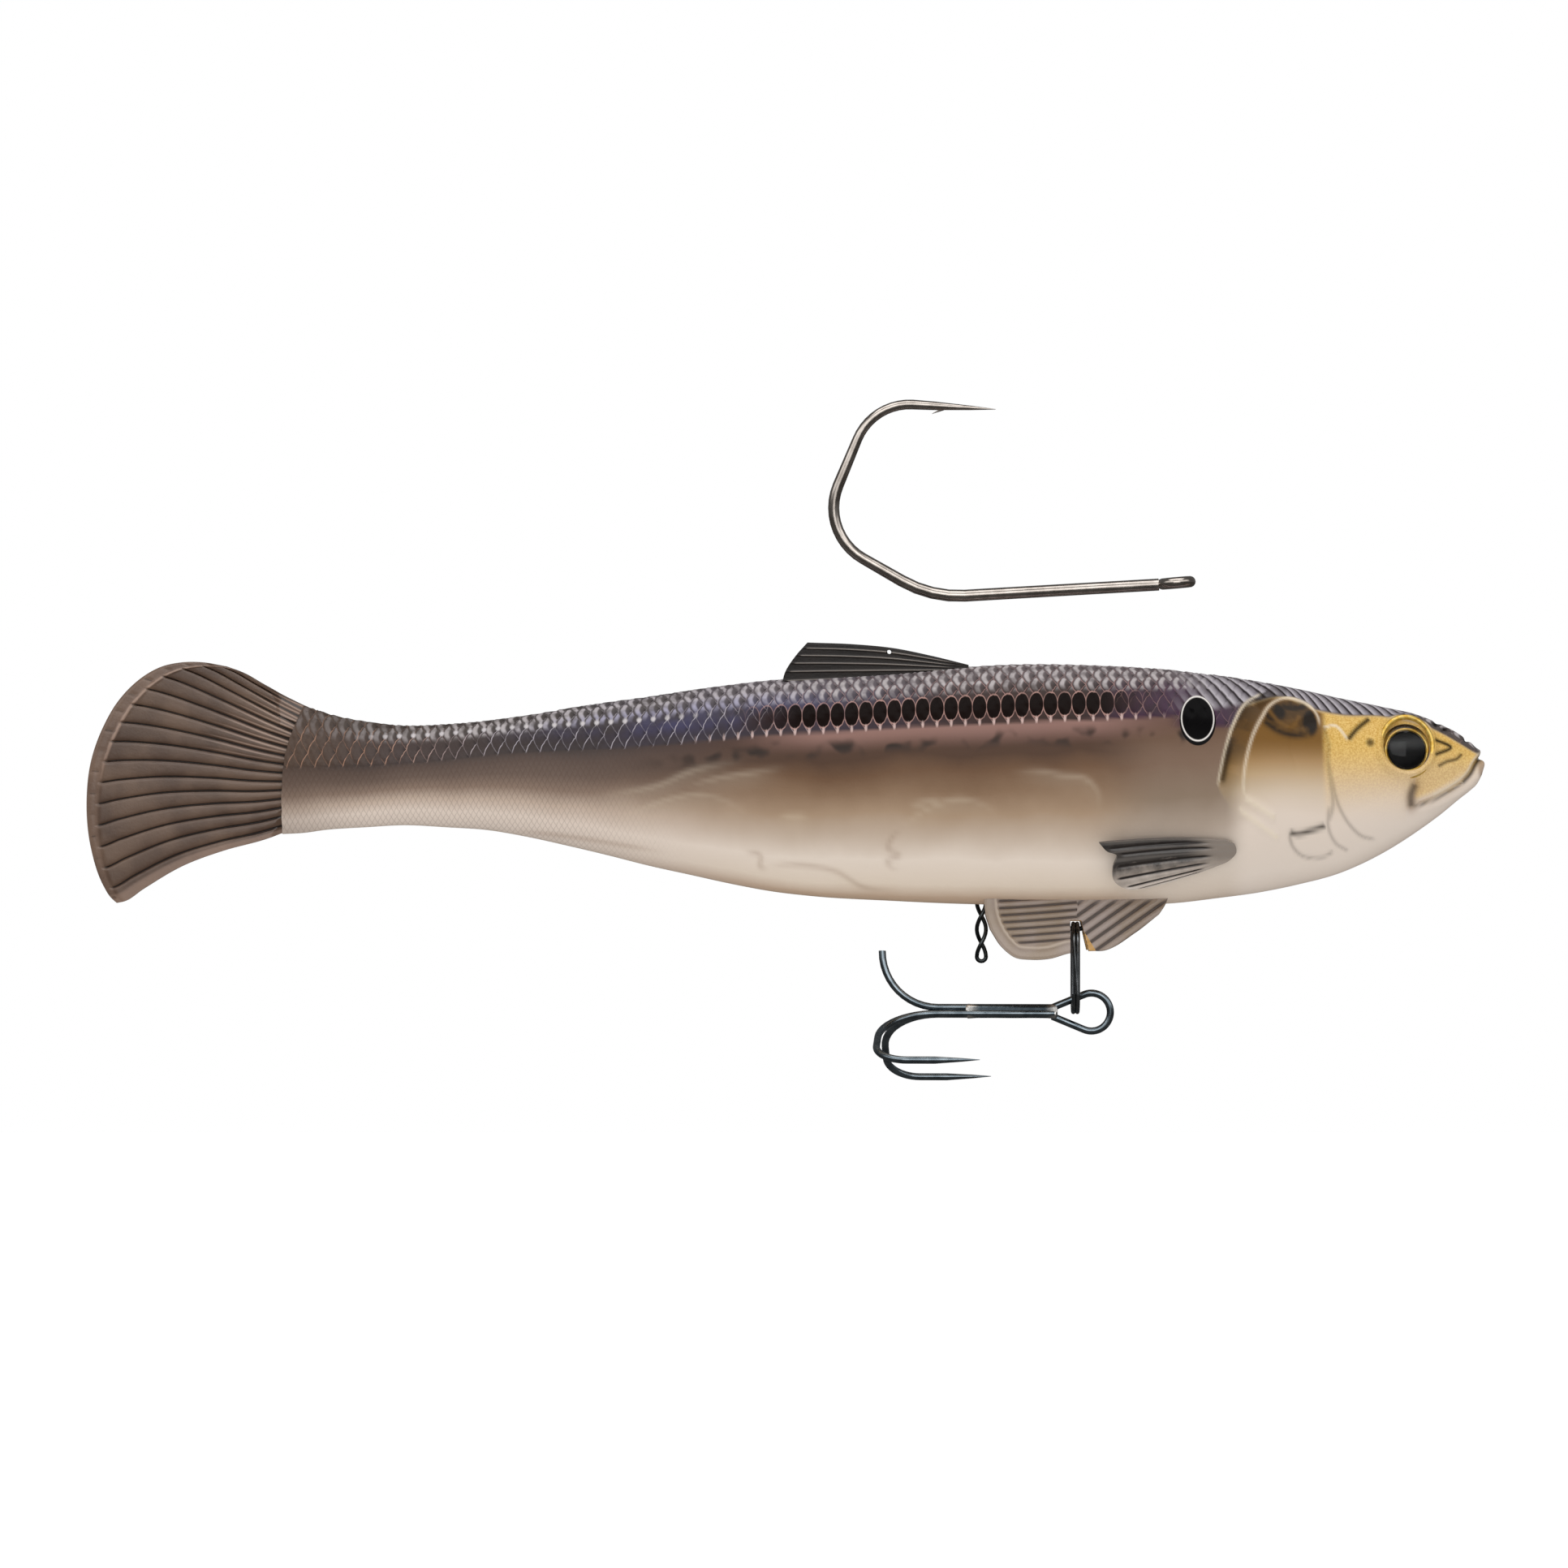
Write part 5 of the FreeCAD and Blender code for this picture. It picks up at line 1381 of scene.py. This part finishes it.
def wire_ring(name, at, along, radius, sides):
    clear_selection()
    bpy.ops.mesh.primitive_circle_add(vertices=sides, radius=radius * MM, fill_type="NOTHING",
                                      location=Vector(at) * MM,
                                      rotation=Vector(along).to_track_quat("Z", "Y").to_euler())
    wire = settle(named(name))
    edit()
    bpy.ops.mesh.select_all(action="SELECT")
    return wire


def draw_out(start, end, radius, new_radius, steps):
    """Draws the selected ring on in a straight line, thinning as it goes."""
    start, end = Vector(start), Vector(end)
    for step in range(steps):
        near, far = (radius + (new_radius - radius) * (step + s) / steps for s in (0, 1))
        centre = start.lerp(end, (step + 1) / steps)
        bpy.ops.mesh.extrude_region_move(
            TRANSFORM_OT_translate={"value": (end - start) / steps * MM})
        share = far / near
        bpy.ops.transform.resize(value=(share, share, share), center_override=centre * MM)


def bend_round(centre, axis, angle):
    """Turns the selected ring round an axis by the right-hand rule, which the spin tool reverses."""
    steps = max(4, int(abs(math.degrees(angle)) / 7))
    bpy.ops.mesh.spin(steps=steps, angle=-angle, center=Vector(centre) * MM, axis=axis)


def close_ends(wire):
    leave_edit()
    edit(wire)
    bpy.ops.mesh.select_all(action="SELECT")
    bpy.ops.mesh.remove_doubles(threshold=0.003 * MM)
    bpy.ops.mesh.fill_holes(sides=0)
    leave_edit()
    return face_outwards(wire)


def corner_bend(before, corner, after, radius):
    """Where a bend starts and ends, its centre and its turn about +Y."""
    back, ahead = (before - corner).normalized(), (after - corner).normalized()
    half = back.angle(ahead) / 2
    reach = radius / math.tan(half)
    centre = corner + (back + ahead).normalized() * (radius / math.sin(half))
    turn = math.copysign(math.pi - 2 * half, ahead.cross(back).y)
    return corner + back * reach, corner + ahead * reach, centre, turn


def bent_wire(name, rows, sides=16, spear=None):
    """A wire bent in side view from corners x, z, bend radius and wire radius; spear makes a point."""
    corners = [Vector((row[0], 0, row[1])) for row in rows]
    wire = wire_ring(name, corners[0], corners[1] - corners[0], rows[0][3], sides)
    place = corners[0]
    for number in range(1, len(rows) - 1):
        start, end, centre, turn = corner_bend(*corners[number - 1:number + 2], rows[number][2])
        draw_out(place, start, rows[number - 1][3], rows[number][3], 3)
        bend_round(centre, (0, 1, 0), turn)
        place = end
    draw_out(place, corners[-1], rows[-2][3], rows[-1][3], 2)
    if spear:
        length, lean = spear
        heading = (corners[-1] - corners[-2]).normalized()
        heading = Matrix.Rotation(lean, 3, "Y") @ heading
        mid = corners[-1] + heading * length * 0.6
        draw_out(corners[-1], mid, rows[-1][3], rows[-1][3] * 0.52, 4)
        draw_out(mid, corners[-1] + heading * length, rows[-1][3] * 0.52, 0.04, 4)
    return close_ends(wire)


def barb(name, rows, reach, length, radius):
    """A sliver lifted off the inner side of a wire's spear, reach past the wire's last corner."""
    (before_x, before_z), (x, z) = rows[-2][:2], rows[-1][:2]
    heading = Vector((x - before_x, 0, z - before_z)).normalized()
    root = Vector((x, 0, z)) + heading * reach
    back = Matrix.Rotation(BARB_LEAN, 3, "Y") @ -heading
    wire_ring(name, root, back, radius, 8)
    draw_out(root, root + back * length, radius, 0.03, 2)
    return close_ends(bpy.context.object)


def join(first, *others):
    """Melts overlapping pieces of one wire into one skin."""
    for other in others:
        modify(first, "BOOLEAN", object=other, operation="UNION", solver="EXACT")
        bpy.data.objects.remove(other)
    return first


def hand_over(item, material, slot, body, *nodes):
    dress(item, material)
    smooth(item)
    if nodes:
        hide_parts(*nodes)
    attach(item, body)


# Corners of each wire: x, z, bend radius and wire radius. The treble's lie round its shank's axis.
TREBLE_WIRE = 0.53
TOP_HOOK = [(-46.5, 25.7, 0, 0.88), (-79.6, 23.8, 16.5, 0.88), (-96.0, 33.2, 8.5, 0.82),
            (-88.1, 52.2, 8.2, 0.72), (-79.3, 51.7, 0, 0.64)]
HARNESS = [(-35.0, -14.2, 0, 0.35), (-42.5, -18.6, 6.0, 0.35), (-56.9, -18.6, 1.5, 0.35),
           (-56.9, -24.35, 1.2, 0.35), (-60.4, -24.35, 1.2, 0.35), (-60.4, -18.6, 1.5, 0.35),
           (-74.0, -18.6, 0, 0.35)]
PRONG = [(-2.95, 0.63, 0, TREBLE_WIRE), (-28.2, 0.63, 8.2, TREBLE_WIRE),
         (-28.2, 16.6, 4.7, TREBLE_WIRE), (-19.5, 16.6, 0, TREBLE_WIRE)]
BLUNT_PRONG = [(-3.4, 0.63, 0, TREBLE_WIRE), (-28.2, 0.63, 8.2, TREBLE_WIRE),
               (-28.2, 8.9, 0, TREBLE_WIRE)]
BARB_LEAN = math.radians(-27)
# The solder along the shank: place and radius.
SOLDER_STATIONS = [(-15.9, 0.86), (-15.6, 1.06), (-15.1, 1.03), (-14.3, 0.97), (-12.0, 0.96),
                   (-9.0, 0.98), (-6.0, 0.96), (-4.0, 0.98), (-3.3, 1.05), (-2.8, 1.04), (-2.6, 0.84)]
# The split ring's middle, from which the treble hangs.
RING_X = -58.65


def make_top_hook():
    hook = bent_wire("top_hook_wire", TOP_HOOK, 20, spear=(9.1, 0))
    sliver = barb("top_hook_barb", TOP_HOOK, 2.2, 2.6, 0.34)
    eye = torus("top_hook_eye", (2.0, 0.82), (48, 18), (-43.95, 0, 25.95), (0, math.radians(-5), 0))
    join(hook, eye, sliver)
    hand_over(hook, NICKEL, "hook_nickel", "top_hook", "top_hook")


def hang_treble(item, roll=0.0):
    """Puts a piece made round the shank's own axis to its place below the split ring."""
    turn = Matrix.Translation((RING_X, 0, -36.46)) @ Matrix.Rotation(math.radians(-4.7), 4, "Z") \
        @ Matrix.Rotation(math.radians(roll), 4, "X")
    return moved(item, turn)


def sharp_prong(name, roll):
    prong = bent_wire(name, PRONG, 16, spear=(6.5, math.radians(1.5)))
    join(prong, barb(name + "_barb", PRONG, 1.8, 1.5, 0.24))
    return hang_treble(prong, roll)


def treble_eye():
    """The drop-shaped eye, closed where it runs into the brazed shank."""
    start, centre, radius = Vector((-3.35, 0, 0.63)), Vector((2.35, 0, 0)), 2.76
    gap = centre - start
    lean = math.atan2(gap.z, gap.x) + math.asin(radius / gap.length)
    top = start + Vector((math.cos(lean), 0, math.sin(lean))) * math.sqrt(gap.length**2 - radius**2)
    loop = wire_ring("treble_eye_wire", start, top - start, TREBLE_WIRE, 16)
    draw_out(start, top, TREBLE_WIRE, TREBLE_WIRE, 2)
    bend_round(centre, (0, 1, 0), math.pi + 2 * lean)
    draw_out((top.x, 0, -top.z), (start.x, 0, -start.z), TREBLE_WIRE, TREBLE_WIRE, 2)
    return hang_treble(close_ends(loop))


def braze_sleeve():
    """Silver solder drawn round the three wires, with a bead at each end."""
    sleeve = rod_along("solder_sleeve", [place for place, _ in SOLDER_STATIONS], 36)
    points = points_of(sleeve)
    turn = np.arctan2(points[:, 1], points[:, 2])
    radius = follow(SOLDER_STATIONS, 1, points[:, 0])
    lobed = radius * (1.0 + 0.13 * np.cos(3 * (turn + math.radians(6.8))))
    points[:, 1], points[:, 2] = lobed * np.sin(turn), lobed * np.cos(turn)
    move_points(sleeve, points)
    return hang_treble(face_outwards(sleeve))


def make_treble():
    blunt = hang_treble(bent_wire("blunt_prong_wire", BLUNT_PRONG), -6.8)
    hand_over(blunt, BLUED, "treble_steel", "treble", "treble_third_prong")
    near = sharp_prong("near_prong_wire", 113.2)
    hand_over(near, BLUED, "treble_steel", "treble", "treble_main_wire")
    hand_over(sharp_prong("far_prong_wire", 233.2), BLUED, "treble_steel", "treble")
    hand_over(treble_eye(), BLUED, "treble_steel", "treble")
    hand_over(braze_sleeve(), SOLDER, "solder", "treble", "treble_braze")


def make_split_ring():
    """Flat-sided split ring of two turns that cross over on one straight side."""
    half, top, low, offset, wire = 2.7, -26.3, -33.76, 0.29, 0.32
    place = RING_X + offset
    ring = wire_ring("split_ring_wire", (place, -half, low), (0, 0, 1), wire, 12)
    for shift in (0.0, -2 * offset):
        draw_out((place, -half, low), (place + shift, -half, top), wire, wire, 3)
        place += shift
        bend_round((place, 0, top), (1, 0, 0), -math.pi)
        draw_out((place, half, top), (place, half, low), wire, wire, 3)
        bend_round((place, 0, low), (1, 0, 0), -math.pi)
    hand_over(close_ends(ring), SPRING, "ring_steel", "split_ring", "split_ring")


def make_hanger():
    """Twisted pair of wires below the belly with a round turn at its foot."""
    x, low, tall, radius, pitch, wire = -72.3, -28.4, 9.9, 0.66, 8.0, 0.3
    # the screw turns round the object's own origin, so each strand goes there and back
    aside = np.array([x, 0, 0])
    strands = []
    for number, side in enumerate((1, -1)):
        at = Vector((x + side * radius, 0, low))
        wire_ring(f"hanger_strand_{number}", at, (0, side * radius, pitch / (2 * math.pi)), wire, 12)
        leave_edit()
        strand = bpy.context.object
        move_points(strand, points_of(strand) - aside)
        modify(strand, "SCREW", angle=2 * math.pi * tall / pitch, screw_offset=tall * MM, steps=40,
               render_steps=40, axis="Z", use_merge_vertices=False)
        move_points(strand, points_of(strand) + aside)
        strands.append(close_ends(strand))
    foot = wire_ring("hanger_foot", (x + radius, 0, low), (0, 0, 1), wire, 12)
    bend_round((x, 0, low), (0, 1, 0), math.pi)
    hanger = join(*strands, close_ends(foot))
    hanger.name = "hanger_twist"
    hand_over(hanger, DARK_WIRE, "steel_wire", "bait", "rear_hanger")


def make_harness():
    hand_over(bent_wire("harness_bends", HARNESS, 12), DARK_WIRE, "steel_wire", "bait",
              "harness_wire")


make_top_hook()
make_treble()
make_split_ring()
make_hanger()
make_harness()

# the tube and the weight keep their own shapes
TUBE = lump_material("clear_tubing", "#e8e6e0", "#dcd9d1", 3.0, Roughness=0.15, IOR=1.46,
                     Transmission_Weight=0.7)
LEAD = lump_material("cast_lead", "#6f7072", "#5c5d60", 1.2, Metallic=0.8, Roughness=0.55)
for node_name, node_material in (("leader_tube", TUBE), ("belly_weight", LEAD)):
    for node_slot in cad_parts[node_name].material_slots:
        node_slot.material = node_material


# ---- stage, lamps and camera ----

def soft_lamp(name, at, towards, size, power):
    clear_selection()
    at, towards = Vector(at), Vector(towards)
    bpy.ops.object.light_add(type="AREA", location=at,
                             rotation=(towards - at).to_track_quat("-Z", "Y").to_euler())
    lamp = bpy.context.object
    lamp.name = name
    lamp.data.shape = "RECTANGLE"
    lamp.data.size, lamp.data.size_y = size
    lamp.data.energy = power


def studio():
    world = bpy.data.worlds.new("studio")
    bpy.context.scene.world = world
    world.use_nodes = True
    tree = world.node_tree
    tree.nodes.clear()
    path = add(world, "LightPath")
    way = add(world, "SeparateXYZ", {0: add(world, "TexCoord").outputs["Generated"]})
    # what metal and clear plastic mirror: a bright strip above in front, a dim room elsewhere
    strip = bell(world, way.outputs[2], 0.42, 0.34)
    strip = times(world, strip, range_of(world, way.outputs[1], 0.0, -0.4))
    mirrored = math_of(world, "MULTIPLY_ADD", strip, 1.5, 0.13)
    plain = add(world, "Background", {"Color": "#faf5ef", "Strength": 0.64})
    reflected = add(world, "Background", {"Color": "#ffffff", "Strength": mirrored})
    white = add(world, "Background", {"Color": "#ffffff", "Strength": 1.0})
    gloss = math_of(world, "MAXIMUM", path.outputs["Is Glossy Ray"],
                    path.outputs["Is Transmission Ray"])
    lit = add(world, "MixShader", {0: gloss, 1: plain.outputs[0], 2: reflected.outputs[0]})
    seen = add(world, "MixShader", {0: path.outputs["Is Camera Ray"], 1: lit.outputs[0],
                                    2: white.outputs[0]})
    out = add(world, "OutputWorld")
    tree.links.new(seen.outputs[0], out.inputs[0])

    clear_selection()
    bpy.ops.mesh.primitive_plane_add(size=5, location=(-0.1, 0, -0.16))
    floor = named("floor")
    paper = bpy.data.materials.new("white_paper")
    paper.use_nodes = True
    tree = paper.node_tree
    tree.nodes.clear()
    grain = noise_of(paper, object_place(paper), 40.0)
    tone = mix_of(paper, grain, "#f3f3f1", "#f7f7f6")
    sheet = add(paper, "BsdfDiffuse", {"Color": tone})
    glow = add(paper, "Emission", {"Color": "#ffffff", "Strength": 0.7})
    both = add(paper, "AddShader", {0: sheet.outputs[0], 1: glow.outputs[0]})
    dim = add(paper, "BsdfDiffuse", {"Color": "#5a5a5a"})
    path = add(paper, "LightPath")
    lit = add(paper, "MixShader", {0: path.outputs["Is Glossy Ray"], 1: sheet.outputs[0],
                                   2: dim.outputs[0]})
    choice = add(paper, "MixShader", {0: path.outputs["Is Camera Ray"], 1: lit.outputs[0],
                                      2: both.outputs[0]})
    out = add(paper, "OutputMaterial")
    tree.links.new(choice.outputs[0], out.inputs[0])
    floor.data.materials.append(paper)

    soft_lamp("top_softbox", (-0.12, -0.25, 0.75), (-0.1, 0, 0), (0.9, 0.5), 2.6)
    soft_lamp("front_fill", (-0.05, -1.1, 0.25), (-0.1, 0, 0), (0.8, 0.6), 1.6)

    sensor, distance, seen_width = 36, 1.2, 0.228
    camera_data = bpy.data.cameras.new("camera")
    camera = bpy.data.objects.new("camera", camera_data)
    bpy.context.scene.collection.objects.link(camera)
    camera.location = (-0.101, -distance, -0.0033)
    camera.rotation_euler = (math.pi / 2, 0, 0)
    camera_data.type = "PERSP"
    camera_data.sensor_width = sensor
    camera_data.lens = sensor * distance / seen_width
    camera_data.clip_start = 0.01
    bpy.context.scene.camera = camera
    bpy.context.scene.view_settings.view_transform = "Standard"


studio()
